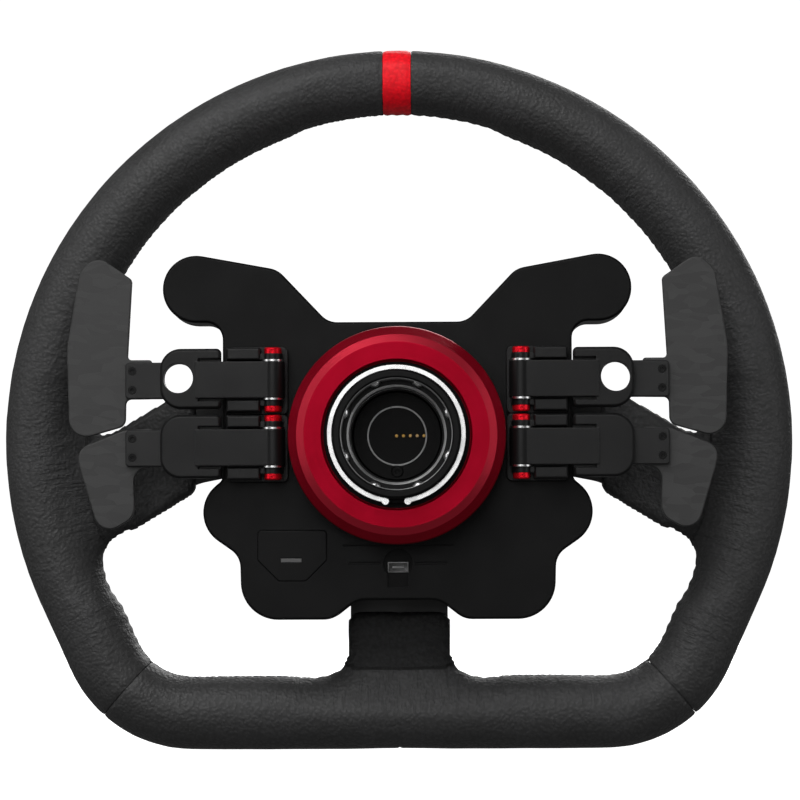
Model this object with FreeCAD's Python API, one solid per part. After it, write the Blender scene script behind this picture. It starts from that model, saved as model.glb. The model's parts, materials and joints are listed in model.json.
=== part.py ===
import FreeCAD, Part
import math
import os
from FreeCAD import Vector

# A D-shaped racing wheel rim for a simulator, with its quick-release hub, housing and paddles.
# Millimetres. +Z is up, +X is to the right as seen from behind the wheel, +Y points at the driver.
# Origin: on the quick-release axis, at the shoulder where the hub's pilot bore begins.

os.makedirs("parts", exist_ok=True)

# ---- levels along the hub axis (Y) ----
NOSE_Y = -10.0              # mouth of the hub
FLANGE_Y = 16.0             # rear face of the hub's flange
HOUSING_Y = 22.0            # rear face of the housing, where the flange seats
HOUSING_DEPTH = 19.5
PLATE_T = 2.5               # front plate
PLATE_Y = HOUSING_Y + HOUSING_DEPTH
FRONT_Y = PLATE_Y + PLATE_T
SPACER_T = 3.5              # boss on the front plate that the spoke plate seats on
SPOKE_T = 5.0
SPOKE_Y = FRONT_Y + SPACER_T
SPOKE_END_Y = SPOKE_Y + SPOKE_T
RIM_Y = SPOKE_Y + SPOKE_T / 2

# ---- rim ----
RIM_WIDTH = 300.0           # overall
RIM_RADIAL = 28.0           # grip thickness across the ring
RIM_AXIAL = 30.0            # grip thickness along the hub axis
RIM_ROUND = 13.2            # rounding of the grip's section
RIM_RING_Z = 0.0            # centre of the big arc
BOTTOM_SHARE = 0.3457       # the flat bottom, the corners' radius and their places follow the width
CORNER_R_SHARE = 0.1233
CORNER_X_SHARE = 0.2617
RIM_BOTTOM_Z = -RIM_WIDTH * BOTTOM_SHARE
CORNER_R = RIM_WIDTH * CORNER_R_SHARE
CORNER_X = RIM_WIDTH * CORNER_X_SHARE
SEAM_DEG = 228.0            # leather seam in each lower corner
STRIPE_W = 10.6             # centre stripe, along the ring
LEATHER_T = 1.6
CORE_R = 5.0
RING_R = RIM_WIDTH / 2 - RIM_RADIAL / 2

# ---- spokes ----
PLATE_CENTRE_R = 42.5
ARM_ROOT_X = 36.8           # where the plate's arms leave its centre
ARM_ROOT_UP = 5.0
ARM_ROOT_LOW = 11.0
LOW_ROOT_X = 4.0
LOW_ROOT_Z = 32.2
LOW_NECK_Z = 52.0
WRAP_T = 12.0               # leather-wrapped thickness of a spoke
WRAP_X = 77.0               # where the leather of a side spoke begins
WRAP_TOP = 22.0
WRAP_LOW = -19.8
WRAP_FALL = 0.60            # how steeply a side spoke falls towards the rim
LOW_WRAP_Z = -65.8          # where the leather of the bottom spoke begins
LOW_WRAP_HALF = 19.6
LOW_FLARE_HALF = 24.0
LOW_FLARE_Z = RIM_BOTTOM_Z + 19.7
LOW_FLARE_RISE = 10.0
ARM_INSET = 3.2             # the bare plate is narrower than its wrap
LOW_ARM_HALF = 18.4

# ---- housing ----
WALL = 2.5
EDGE = 0.8                  # chamfer on rear edges
TOP_Z = 43.0
SIDE_X = 65.2
EAR_X = 87.6
EAR_R = 12.5
EAR_TOP_Z = 70.7
LOBE_LOW_Z = -68.0
NOTCH_Z = -60.8
BOSS_R = 41.0
WIRE_R = 14.0
SCREW_R = 1.5
SCREW_HEAD_R = 2.8
SCREW_HEAD_T = 1.6
BOSS_SCREW_R = 3.6
SCREW_PLACES = [(36.0, 49.0), (60.4, 38.0), (60.9, -11.4), (30.0, -63.0)]
BOARD_T = 1.6
BOARD_Y = HOUSING_Y + 11.0
BOARD_GAP = 1.0
OUTLINE = [
    (-25.8, TOP_Z, 8.0),
    (-44.6, 62.8, 9.0),
    (-EAR_X, EAR_TOP_Z, EAR_R),
    (-EAR_X, TOP_Z, EAR_R),
    (-SIDE_X, TOP_Z, 6.4),
    (-SIDE_X, -15.7, 4.0),
    (-81.1, -28.8, 13.0),
    (-58.9, -44.3, 8.0),
    (-58.3, LOBE_LOW_Z, 14.0),
    (-24.5, LOBE_LOW_Z, 9.0),
    (-15.3, NOTCH_Z, 9.0),
]

# ---- small module, light, socket and grooves on the housing's rear ----
MODULE = (-52.3, -26.5, -53.7, -34.7)
MODULE_CUT = 7.8
MODULE_T = 1.2
MODULE_PROUD = 0.4
LIGHT = (-43.7, -35.9, -46.7, -45.1)
USB_Z = -48.6
USB_W = 7.7
USB_H = 3.9
USB_SHELL_T = 0.4
USB_RECESS_R = 5.6
USB_RECESS_DEPTH = 3.0
USB_TONGUE_Z = -55.8
USB_PAD_T = 3.5
GROOVE_DEPTH = 0.6
FIT = 0.1                   # gap round parts that drop into a recess
OVER = 1.0                  # how far a cutting tool runs past the surface it cuts
MODULE_EDGE = 0.25
MODULE_TOP_R = 1.5
MODULE_CUT_R = 1.0
USB_RECESS_RISE = 1.4       # the round recess sits a little above the socket
USB_PAD_HALF = 9.0
USB_PAD_BELOW = 2.0
USB_PAD_ABOVE = 8.0
USB_PROUD = 0.6
USB_TONGUE = (2.2, 0.4, 0.8, 0.5)   # half width, half height, setback, lift off the board
LINE = (-20.5, 20.5, -40.6, -40.2)
SLOT = (-18.4, -6.4, -47.6, -46.7)
SCREW_LENGTH = 12.0
SCREW_SOCKET_R = 1.0
SCREW_SOCKET_DEPTH = 1.1
BOARD_WINDOW_HALF = 20.0
HOLE_FIT = 0.15             # gap round a button
SHAFT_FIT = 0.25            # gap round a knob's shaft

# ---- quick-release hub ----
PILOT_R = 17.5
PILOT_LENGTH = 12.0
PILOT_LEAD = 0.8            # lead-in chamfer
MOUTH_R = 20.2
HUB_R = 23.7
FLANGE_R = 39.0
BOLT_PCD = 70.0
BOLT_COUNT = 6
BOLT_R = 2.5
BOLT_HEAD_R = 4.25
BOLT_HEAD_T = 3.0
BOLT_CLEAR = 0.05
BOLT_SOCKET_R = 1.8
BOLT_THREAD_Y = 1.2         # the bolt stops this far above the flange's rear face
BALL_R = 2.4
BALL_Y = -3.5
BALL_COUNT = 8
BALL_IN = 18.7              # how near the axis the balls come
RUN = 0.05                  # running clearance of shafts and sleeves
NOSE_EDGE = 0.9
HUB_WIRE_R = 8.0            # hole for the wires behind the contact block
RING_GAP_HALF = 3.6         # opening of the snap ring, with a hook at each end
HOOK_R = 1.3
HOOK_HOLE_R = 0.45
HOOK_IN = 0.5
BALL_POCKET_START = 1.0
RING_IN_R = HUB_R - 1.1
RING_OUT_R = HUB_R + 1.6
RING_Y = -7.2
RING_T = 1.4
CONTACT_T = 4.2
CONTACT_GAP = 1.8           # the contact block's face stands this far behind the pilot bore
CONTACT_SEAT = 0.8          # how much narrower its pocket is than the pilot bore
CONTACT_PITCH = 2.54
CONTACT_R = 0.6
CONTACT_PROUD = 1.5
CONTACT_X = -0.2
CONTACT_COUNT = 5
CONTACT_SCREW_R = 1.9
CONTACT_SCREW_Z = -13.2
RIDGE_R = 10.5              # raised ring round the contacts, broken at top and bottom
RIDGE_W = 0.6
RIDGE_BREAK = 2.2
RIDGE_T = 0.4
BLOCK_EDGE = 0.5
TIP_SHARE = 0.65            # how much thinner a contact's tip is
SCREW_WELL = 0.4
SCREW_WELL_DEPTH = 1.2
SCREW_HEAD_BACK = 0.2
SCREW_KEY_SHARE = 0.45
SCREW_KEY_DEPTH = 0.9

# ---- release collar ----
COLLAR_R = 40.2
COLLAR_MOUTH_R = HUB_R + 3.5
COLLAR_Y = -2.2             # rear face; the hub's nose stands out of it
COLLAR_GROOVE = 3.2         # depth of the groove round the collar's inner sleeve
COLLAR_SLEEVE_R = HUB_R + 1.3
COLLAR_SLEEVE_Y = RING_Y + RING_T + 0.3
COLLAR_BORE_R = HUB_R + RUN
COLLAR_POCKET_R = HUB_R + 5.3
COLLAR_POCKET_Y = 4.0
COLLAR_FACE_R = 34.1        # flat face, then a bright chamfer band, then the outer bevel
COLLAR_BAND_R = 36.9
COLLAR_TRAVEL = 4.0
COLLAR_END_Y = FLANGE_Y - COLLAR_TRAVEL - 0.4
COLLAR_LIP = 0.6
COLLAR_BAND_DROP = 2.2
COLLAR_BEVEL_DROP = 6.2
COLLAR_BEVEL_R = 0.3
COLLAR_EDGE = 1.2
SPRING_WIRE_R = 0.6
SPRING_GAP = 0.1
SPRING_R = HUB_R + 2.7
SPRING_TURNS = 4

# ---- paddles ----
PIN_X = 46.0
PIN_Y = 13.5
PIN_R = 1.5
BARREL_R = 4.4
BARREL_HALF = 6.7
WASHER_R = 4.25
WASHER_T = 0.75
EAR_T = 2.2
EAR_OUT_R = 3.5
CAP_R = 3.25
CAP_T = 2.3
CAP_HOLE_R = 0.45
CAP_HOLE_DEPTH = 1.2
CAP_EDGE = 0.45
PIN_INTO_CAP = 1.4
RAIL_EDGE = 0.6
WEB_Y = 1.6
TALL = 20.0                 # longer than a hinge, for tools that cut right through it
PAD_EDGE = 0.9
PAD_END_R = 1.6
EYE_RISE = 0.7
EXT_EDGE = 0.4
BLADE_EDGE = 0.35
BLADE_SCREW_SHORT = 0.2
BLADE_KEY_R = 0.7
BLADE_KEY_DEPTH = 0.6
HEAD_BACK = 0.1
UPPER_Z = 21.0
LOWER_Z = -4.1
BASE_Y = 19.0
BASE_SINK = 1.0
BASE_X0 = 40.8
BASE_SCREW_IN = 4.0
BASE_SCREW_OUT = 3.9
BASE_SCREW_DEEP = 2.3
BASE_MARGIN = 0.6
BASE_SCREW_Y = HOUSING_Y + BASE_SINK - BASE_SCREW_DEEP
BASE_X1 = 63.5
RAIL_X0 = 50.7
RAIL_X1 = 63.1
RAIL_Y = 10.6
RAIL_IN = 7.3
RAIL_OUT = 11.9
ARM_Y = 9.5
ARM_T = 5.0
ARM_END_X = 74.7
PAD_Y = 10.4
PAD_T = 5.0
PAD_X0 = 65.2
PAD_X1 = 87.7
PAD_R = 7.6
PAD_UP = 11.6
PAD_DOWN = 10.7
LOW_PAD_UP = 12.2
LOW_PAD_DOWN = 11.4
SLOT_X0 = 62.0
SLOT_X1 = 73.7
SLOT_H = 1.3
SLOT_DEPTH = 3.6
EYE_X = 81.0
EYE_R = 5.5
EXT_T = 2.5
EXT_X0 = 74.4
EXT_X1 = 101.0
EXT_HALF = 6.8
BLADE_T = 2.6
BLADE_SCREW_X = 98.4
BLADE_SCREW_HALF = 3.5
BLADE_SCREW_R = 0.9
BLADE_HEAD_R = 1.6
BLADE_HEAD_T = 0.9
TAB_X = 91.4
MAGNET_R = 2.5
MAGNET_T = 2.4
MAGNET_X = 54.0
MAGNET_PROUD = 0.4
SENSOR = (2.0, 1.5, 1.2)    # half width, half height, thickness
UPPER_BLADE = [
    (-TAB_X, 28.9, 1.0),
    (-100.4, 28.9, 1.5),
    (-98.7, 58.9, 2.0),
    (-112.2, 68.3, 6.0),
    (-118.4, 61.6, 7.0),
    (-123.1, 33.0, 40.0),
    (-122.0, -1.6, 6.5),
    (-101.2, 4.3, 3.5),
    (-101.0, 14.2, 2.0),
    (-TAB_X, 14.3, 1.0),
]
LOWER_BLADE = [
    (-TAB_X, 3.2, 1.0),
    (-101.4, 2.8, 12.0),
    (-119.6, -4.3, 5.5),
    (-118.0, -12.2, 12.0),
    (-110.5, -36.9, 6.0),
    (-97.8, -29.6, 6.5),
    (-98.2, -11.9, 5.0),
    (-TAB_X, -11.1, 1.0),
]

# ---- controls on the driver's side ----
BUTTON_R = 5.5
BUTTON_PLACES = {"outer": (75.0, 56.6), "inner": (53.9, 54.0)}
BUTTON_TOP = 3.4
BUTTON_STEM = 3.0
BEZEL_R = 7.6
BEZEL_T = 1.4
SWITCH_HALF = 3.0
SWITCH_TOP = 2.0
KNOB_PLACES = {"upper": (61.0, -28.8), "lower": (44.7, -55.1)}
KNOB_R = 8.6
KNOB_H = 11.0
KNOB_GAP = 0.4
KNOB_GRIPS = 16
KNOB_GRIP_R = 0.8
SHAFT_R = 3.0
ENCODER_HALF = 5.6
ENCODER_T = 6.5
BUTTON_SKIRT = 1.0
BUTTON_EDGE = 0.8
STEM_R = 1.6
BEZEL_EDGE = 0.5
KNOB_EDGE = 1.0
KNOB_GRIP_START = 1.5
KNOB_MARK = (0.4, 2.0, 1.5, 0.5)    # half width, start, end margin, depth
SHAFT_SEAT = 1.5
CAP_DISC_EDGE = 1.2
CAP_DISC_R = 28.0
CAP_DISC_T = 4.0

SIDES = {"left": 1, "right": -1}


def rounded_wire(corners, y):
    """A closed wire in the plane y, with each (x, z, radius) corner rounded by an arc."""
    points = [Vector(x, y, z) for x, z, radius in corners]
    starts = []
    edges = []
    for i, (x, z, radius) in enumerate(corners):
        here = points[i]
        back = (points[i - 1] - here).normalize()
        ahead = (points[(i + 1) % len(points)] - here).normalize()
        half = back.getAngle(ahead) / 2
        reach = radius / math.tan(half)
        middle = (back + ahead).normalize() * (radius / math.sin(half) - radius)
        starts.append((here + back * reach, here + middle, here + ahead * reach))
    for i, (enter, middle, leave) in enumerate(starts):
        following = starts[(i + 1) % len(starts)][0]
        edges.append(Part.Arc(enter, middle, leave).toShape())
        if leave.distanceToPoint(following) > 1e-4:
            edges.append(Part.LineSegment(leave, following).toShape())
    return Part.Wire(edges)


def prism(corners, y0, y1, inset=0.0):
    """A rounded outline raised from y0 to y1, drawn in by inset."""
    face = Part.Face(rounded_wire(corners, y0))
    if inset:
        face = face.makeOffset2D(-inset)
    return face.extrude(Vector(0, y1 - y0, 0))


def both_sides(left_half):
    """Close a left-half outline, listed from the top centre down, with its mirror image."""
    return left_half + [(-x, z, radius) for x, z, radius in reversed(left_half)]


def box(x0, x1, y0, y1, z0, z1):
    return Part.makeBox(x1 - x0, y1 - y0, z1 - z0, Vector(x0, y0, z0))


def rod_y(radius, y0, y1, x=0.0, z=0.0):
    return Part.makeCylinder(radius, y1 - y0, Vector(x, y0, z), Vector(0, 1, 0))


def rod_z(radius, z0, z1, x, y):
    return Part.makeCylinder(radius, z1 - z0, Vector(x, y, z0), Vector(0, 0, 1))


def ring_y(r_in, r_out, y0, y1, x=0.0, z=0.0):
    return rod_y(r_out, y0, y1, x, z).cut(rod_y(r_in, y0 - OVER, y1 + OVER, x, z))


def turned(profile):
    """A solid of revolution about the hub axis from a closed list of (radius, y)."""
    points = [Vector(radius, y, 0) for radius, y in profile]
    wire = Part.makePolygon(points + points[:1])
    return Part.Face(wire).revolve(Vector(0, 0, 0), Vector(0, 1, 0), 360)


def fuse(shapes):
    return shapes[0].multiFuse(shapes[1:]) if len(shapes) > 1 else shapes[0]


def mirrored(shape):
    return shape.mirror(Vector(0, 0, 0), Vector(1, 0, 0))


def on_side(shape, side):
    """Shapes are drawn on the left, at negative x, and mirrored for the right."""
    return shape if side == "left" else mirrored(shape)


def both(shape):
    return [shape, mirrored(shape)]


def edges_at(shape, y):
    return [e for e in shape.Edges if abs(e.BoundBox.YMin - y) < 1e-4 and abs(e.BoundBox.YMax - y) < 1e-4]


def write(name, shape):
    """One STEP file per piece; separate solids of one kind go in one compound."""
    solids = shape.Solids
    for solid in solids:
        if not solid.isValid() or solid.Volume <= 0:
            print("BAD SOLID in", name)
    result = solids[0] if len(solids) == 1 else Part.makeCompound(solids)
    result.exportStep("parts/" + name + ".step")
    print(name, len(solids), round(sum(s.Volume for s in solids) / 1000, 2), "cm3")


# ---- the ring's path: big arc, straight flank, corner arc, flat bottom ----
CORNER_Z = RIM_BOTTOM_Z + CORNER_R
CORNER_FROM_RING = math.hypot(CORNER_X, CORNER_Z - RIM_RING_Z)
FLANK_DEG = (
    180
    + math.degrees(math.atan2(RIM_RING_Z - CORNER_Z, CORNER_X))
    - math.degrees(math.acos((RING_R - CORNER_R) / CORNER_FROM_RING))
)
STRIPE_DEG = math.degrees(STRIPE_W / RING_R) / 2


def around(cx, cz, radius, deg):
    turn = math.radians(deg)
    return Vector(cx + radius * math.cos(turn), RIM_Y, cz + radius * math.sin(turn))


def section(inset, radius):
    """The grip's section at angle 0 of an arc of this radius about the origin, as a face."""
    wide = RIM_RADIAL / 2 - inset
    deep = RIM_AXIAL / 2 - inset
    turn = RIM_ROUND - inset
    corners = [(radius - wide, -deep, turn), (radius + wide, -deep, turn)]
    corners += [(radius + wide, deep, turn), (radius - wide, deep, turn)]
    flat = Part.Face(rounded_wire(corners, 0))
    flat.rotate(Vector(0, 0, 0), Vector(1, 0, 0), -90)
    flat.translate(Vector(0, RIM_Y, 0))
    return flat


def core_section(radius):
    circle = Part.makeCircle(CORE_R, Vector(radius, RIM_Y, 0), Vector(0, 0, 1))
    return Part.Face(Part.Wire([circle]))


def arc_piece(make, cx, cz, radius, deg0, deg1):
    axis = Vector(0, -1, 0)
    face = make(radius)
    face.rotate(Vector(0, RIM_Y, 0), axis, deg0)
    solid = face.revolve(Vector(0, RIM_Y, 0), axis, deg1 - deg0)
    solid.translate(Vector(cx, 0, cz))
    return solid


def straight_piece(make, start, end):
    """The section carried from start to end; the ring's outside lies to the right of travel."""
    way = end - start
    deg = math.degrees(math.atan2(way.z, way.x)) - 90
    face = make(0)
    face.rotate(Vector(0, RIM_Y, 0), Vector(0, -1, 0), deg)
    face.translate(Vector(start.x, 0, start.z))
    return face.extrude(way)


def left_run(make, first_deg, last_deg):
    """From first_deg on the big arc, down the flank, to last_deg on the left corner arc."""
    start = around(0, RIM_RING_Z, RING_R, FLANK_DEG)
    end = around(-CORNER_X, CORNER_Z, CORNER_R, FLANK_DEG)
    pieces = [arc_piece(make, 0, RIM_RING_Z, RING_R, first_deg, FLANK_DEG)]
    pieces.append(straight_piece(make, start, end))
    pieces.append(arc_piece(make, -CORNER_X, CORNER_Z, CORNER_R, FLANK_DEG, last_deg))
    return fuse(pieces)


def flat_bottom(make):
    start = Vector(-CORNER_X, RIM_Y, RIM_BOTTOM_Z)
    end = Vector(CORNER_X, RIM_Y, RIM_BOTTOM_Z)
    return straight_piece(make, start, end)


def bottom_run(make, first_deg):
    corner = arc_piece(make, -CORNER_X, CORNER_Z, CORNER_R, first_deg, 270)
    flat = flat_bottom(make)
    return fuse([corner, flat, mirrored(corner)])


def grip(inset):
    return lambda radius: section(inset, radius)


def whole_ring(make):
    left = left_run(make, 90, 270)
    flat = flat_bottom(make)
    return fuse([left, mirrored(left), flat])


# ---- spokes ----
def side_spoke(inset, y0, y1, start_x):
    """The left side spoke's outline from start_x out to the ring's centre line."""
    end_x = RING_R
    fall = WRAP_FALL * (end_x - WRAP_X)
    top = WRAP_TOP - inset - WRAP_FALL * (start_x - WRAP_X)
    low = WRAP_LOW + inset - WRAP_FALL * (start_x - WRAP_X)
    corners = [
        (-start_x, low, 1.0),
        (-start_x, top, 1.0),
        (-end_x, WRAP_TOP - inset - fall, 1.0),
        (-end_x, WRAP_LOW + inset - fall, 1.0),
    ]
    return prism(corners, y0, y1)


def bottom_spoke(inset, y0, y1, start_z):
    half = [
        (-LOW_WRAP_HALF + inset, start_z, 1.0),
        (-LOW_WRAP_HALF + inset, LOW_FLARE_Z + LOW_FLARE_RISE, 8.0),
        (-LOW_FLARE_HALF + inset, LOW_FLARE_Z, 8.0),
        (-LOW_FLARE_HALF + inset, RIM_BOTTOM_Z, 1.0),
    ]
    return prism(both_sides(half), y0, y1)


def inside_ring():
    """Everything within the ring's centre line, to trim the spokes where they meet the core."""
    y0, y1 = SPOKE_Y - OVER, SPOKE_END_Y + OVER
    disc = rod_y(RING_R, y0, y1, 0, RIM_RING_Z)
    below = box(-RING_R, RING_R, y0, y1, RIM_BOTTOM_Z, RIM_RING_Z)
    return disc.fuse(below).cut(box(-RIM_WIDTH, RIM_WIDTH, y0, y1, -RIM_WIDTH, RIM_BOTTOM_Z))


def spoke_plate(core):
    y0, y1 = SPOKE_Y, SPOKE_END_Y
    arm = [
        (-ARM_ROOT_X, WRAP_TOP + ARM_ROOT_UP, 10.0),
        (-WRAP_X, WRAP_TOP - ARM_INSET, 20.0),
        (-RING_R, WRAP_TOP - ARM_INSET - WRAP_FALL * (RING_R - WRAP_X), 1.0),
        (-RING_R, WRAP_LOW + ARM_INSET - WRAP_FALL * (RING_R - WRAP_X), 1.0),
        (-WRAP_X, WRAP_LOW + ARM_INSET, 20.0),
        (-ARM_ROOT_X, WRAP_LOW + ARM_ROOT_LOW, 8.0),
        (-LOW_ARM_HALF - LOW_ROOT_X, -LOW_ROOT_Z, 6.0),
        (-LOW_ARM_HALF, -LOW_NECK_Z, 8.0),
        (-LOW_ARM_HALF, RIM_BOTTOM_Z, 1.0),
    ]
    plate = prism(both_sides(arm), y0, y1).fuse(rod_y(PLATE_CENTRE_R, y0, y1))
    plate = biggest(plate.common(inside_ring()).cut(core))
    plate = plate.cut(rod_y(WIRE_R, y0 - OVER, y1 + OVER))
    for x, z in bolt_places():
        plate = plate.cut(rod_y(BOLT_R + BOLT_CLEAR, y0 - OVER, y1 + OVER, x, z))
    return plate


def bolt_places():
    places = []
    for i in range(BOLT_COUNT):
        turn = 2 * math.pi * i / BOLT_COUNT
        places.append((BOLT_PCD / 2 * math.cos(turn), BOLT_PCD / 2 * math.sin(turn)))
    return places


def wrap_y(inset):
    return RIM_Y - WRAP_T / 2 + inset, RIM_Y + WRAP_T / 2 - inset


def make_rim():
    core = whole_ring(core_section)
    plate = spoke_plate(core)
    y0, y1 = wrap_y(LEATHER_T)
    spokes = both(side_spoke(LEATHER_T, y0, y1, WRAP_X)) + [bottom_spoke(LEATHER_T, y0, y1, LOW_WRAP_Z)]
    filled = fuse([whole_ring(grip(LEATHER_T))] + spokes)
    write("rim_core", core)
    write("spoke_plate", plate)
    write("rim_foam", filled.cut(core).cut(plate))
    y0, y1 = wrap_y(0)
    grip_left = left_run(grip(0), 90 + STRIPE_DEG, SEAM_DEG)
    left = fuse([grip_left, side_spoke(0, y0, y1, WRAP_X)]).cut(filled)
    left = left.cut(plate).cut(core)
    left = biggest(left)
    write("leather_left", left)
    write("leather_right", mirrored(left))
    lower = fuse([bottom_run(grip(0), SEAM_DEG), bottom_spoke(0, y0, y1, LOW_WRAP_Z)])
    write("leather_bottom", biggest(lower.cut(filled).cut(plate).cut(core)))
    stripe = arc_piece(grip(0), 0, RIM_RING_Z, RING_R, 90 - STRIPE_DEG, 90 + STRIPE_DEG)
    write("centre_stripe", biggest(stripe.cut(filled)))


def biggest(shape):
    return max(shape.Solids, key=lambda solid: solid.Volume)


# ---- housing ----
def button_places():
    return [(sign * x, z) for x, z in BUTTON_PLACES.values() for sign in (-1, 1)]


def knob_places():
    return [(sign * x, z) for x, z in KNOB_PLACES.values() for sign in (-1, 1)]


def screw_places():
    return [(sign * x, z) for x, z in SCREW_PLACES for sign in (-1, 1)]


def module_outline():
    x0, x1, z0, z1 = MODULE
    cut = MODULE_CUT
    return [
        (x0, z1, MODULE_TOP_R),
        (x0, z0 + cut, MODULE_CUT_R),
        (x0 + cut, z0, MODULE_CUT_R),
        (x1 - cut, z0, MODULE_CUT_R),
        (x1, z0 + cut, MODULE_CUT_R),
        (x1, z1, MODULE_TOP_R),
    ]


def bracket_pocket():
    top = UPPER_Z + RAIL_OUT + BASE_MARGIN
    low = LOWER_Z - RAIL_OUT - BASE_MARGIN
    return [
        (-BASE_X1 - FIT, top + FIT, 2.0 + FIT),
        (-BASE_X1 - FIT, low - FIT, 2.0 + FIT),
        (-BASE_X0 + FIT, low - FIT, 2.0 + FIT),
        (-BASE_X0 + FIT, top + FIT, 2.0 + FIT),
    ]


def bracket_screw_places():
    """Two screws per bracket, from inside the housing."""
    return [(x, z) for x in (-BASE_X0 - BASE_SCREW_IN, -BASE_X1 + BASE_SCREW_OUT) for z in (UPPER_Z, LOWER_Z)]


def make_housing():
    y0, y1 = HOUSING_Y, PLATE_Y
    outline = both_sides(OUTLINE)
    outer = prism(outline, y0, y1)
    outer = outer.makeChamfer(EDGE, edges_at(outer, y0))
    inner = prism(outline, y0 + WALL, y1 + OVER, WALL)
    shell = outer.cut(inner)
    solid_parts = [ring_y(WIRE_R, BOSS_R, y0 + WALL / 2, y1)]
    solid_parts += [rod_y(BOSS_SCREW_R, y0 + WALL / 2, y1, x, z) for x, z in screw_places()]
    solid_parts.append(box(-USB_PAD_HALF, USB_PAD_HALF, y0 + WALL / 2, y0 + WALL + USB_PAD_T,
                           USB_TONGUE_Z - USB_PAD_BELOW, USB_Z + USB_PAD_ABOVE))
    solid_parts = [part.common(outer) for part in solid_parts]
    shell = fuse([shell] + solid_parts)
    shell = shell.cut(rod_y(WIRE_R, y0 - OVER, y1 + OVER))
    for x, z in bolt_places():
        shell = shell.cut(rod_y(BOLT_R + BOLT_CLEAR, y0 - OVER, y1 + OVER, x, z))
    for x, z in screw_places():
        shell = shell.cut(rod_y(SCREW_R, y0 + WALL + 1, y1 + OVER, x, z))
    pocket = prism(bracket_pocket(), y0 - OVER, y0 + BASE_SINK)
    cuts = both(pocket)
    for x, z in bracket_screw_places():
        cuts += both(rod_y(SCREW_R + RUN, y0 - OVER, y0 + WALL + 1, x, z))
    cuts.append(prism(module_outline(), y0 - OVER, y0 + MODULE_T - MODULE_PROUD))
    cuts += usb_cuts(y0)
    for cut in cuts:
        shell = shell.cut(cut)
    write("housing_rear", shell)
    write("module_cover", make_module_cover(y0))
    light = box(LIGHT[0] + FIT, LIGHT[1] - FIT, y0 - MODULE_PROUD - 0.1, y0 + MODULE_T - MODULE_PROUD,
                LIGHT[2] + FIT, LIGHT[3] - FIT)
    write("status_light", light)
    write("front_plate", make_front_plate())
    write("main_board", make_board())
    write("usb_socket", make_usb())
    write("housing_screws", Part.makeCompound([make_plate_screw(x, z) for x, z in screw_places()]))


def usb_cuts(y0):
    depth = y0 + USB_RECESS_DEPTH
    half = USB_W / 2 + FIT
    recess = rod_y(USB_RECESS_R, y0 - OVER, depth, 0, USB_Z + USB_RECESS_RISE)
    tongue = box(-half, half, y0 - OVER, depth, USB_TONGUE_Z, USB_Z)
    hole = box(-half, half, y0, BOARD_Y, USB_Z - USB_H / 2 - FIT, USB_Z + USB_H / 2 + FIT)
    line = box(LINE[0], LINE[1], y0 - OVER, y0 + GROOVE_DEPTH / 2, LINE[2], LINE[3])
    slot = box(SLOT[0], SLOT[1], y0 - OVER, y0 + GROOVE_DEPTH, SLOT[2], SLOT[3])
    return [recess, tongue, hole, line] + both(slot)


def make_module_cover(y0):
    cover = prism(module_outline(), y0 - MODULE_PROUD, y0 + MODULE_T - MODULE_PROUD, FIT)
    cover = cover.makeChamfer(MODULE_EDGE, edges_at(cover, y0 - MODULE_PROUD))
    window = box(LIGHT[0], LIGHT[1], y0 - MODULE_PROUD - OVER, y0 + MODULE_T + OVER, LIGHT[2], LIGHT[3])
    return cover.cut(window)


def make_front_plate():
    plate = prism(both_sides(OUTLINE), PLATE_Y, FRONT_Y)
    plate = plate.makeChamfer(EDGE, edges_at(plate, FRONT_Y))
    plate = plate.fuse(rod_y(BOSS_R, PLATE_Y, SPOKE_Y))
    plate = plate.cut(rod_y(WIRE_R, PLATE_Y - OVER, SPOKE_Y + OVER))
    for x, z in bolt_places():
        plate = plate.cut(rod_y(BOLT_R + BOLT_CLEAR, PLATE_Y - OVER, SPOKE_Y + OVER, x, z))
    for x, z in screw_places():
        plate = plate.cut(rod_y(SCREW_R + RUN, PLATE_Y - OVER, FRONT_Y + OVER, x, z))
        plate = plate.cut(rod_y(SCREW_HEAD_R + RUN, FRONT_Y - SCREW_HEAD_T, FRONT_Y + OVER, x, z))
    for x, z in button_places():
        plate = plate.cut(rod_y(BUTTON_R + HOLE_FIT, PLATE_Y - OVER, FRONT_Y + OVER, x, z))
    for x, z in knob_places():
        plate = plate.cut(rod_y(SHAFT_R + SHAFT_FIT, PLATE_Y - OVER, FRONT_Y + OVER, x, z))
    return plate


def make_plate_screw(x, z):
    head = rod_y(SCREW_HEAD_R, FRONT_Y - SCREW_HEAD_T, FRONT_Y, x, z)
    shank = rod_y(SCREW_R, FRONT_Y - SCREW_LENGTH, FRONT_Y - SCREW_HEAD_T, x, z)
    return head.fuse(shank).cut(rod_y(SCREW_SOCKET_R, FRONT_Y - SCREW_SOCKET_DEPTH, FRONT_Y + OVER, x, z))


def make_board():
    y0, y1 = BOARD_Y - OVER, BOARD_Y + BOARD_T + OVER
    board = prism(both_sides(OUTLINE), BOARD_Y, BOARD_Y + BOARD_T, WALL + BOARD_GAP)
    board = board.cut(rod_y(BOSS_R + BOARD_GAP, y0, y1))
    board = board.cut(box(-BOARD_WINDOW_HALF, BOARD_WINDOW_HALF, y0, y1, 0, TOP_Z))
    for x, z in screw_places():
        board = board.cut(rod_y(BOSS_SCREW_R + BOARD_GAP, y0, y1, x, z))
    return biggest(board)


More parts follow.
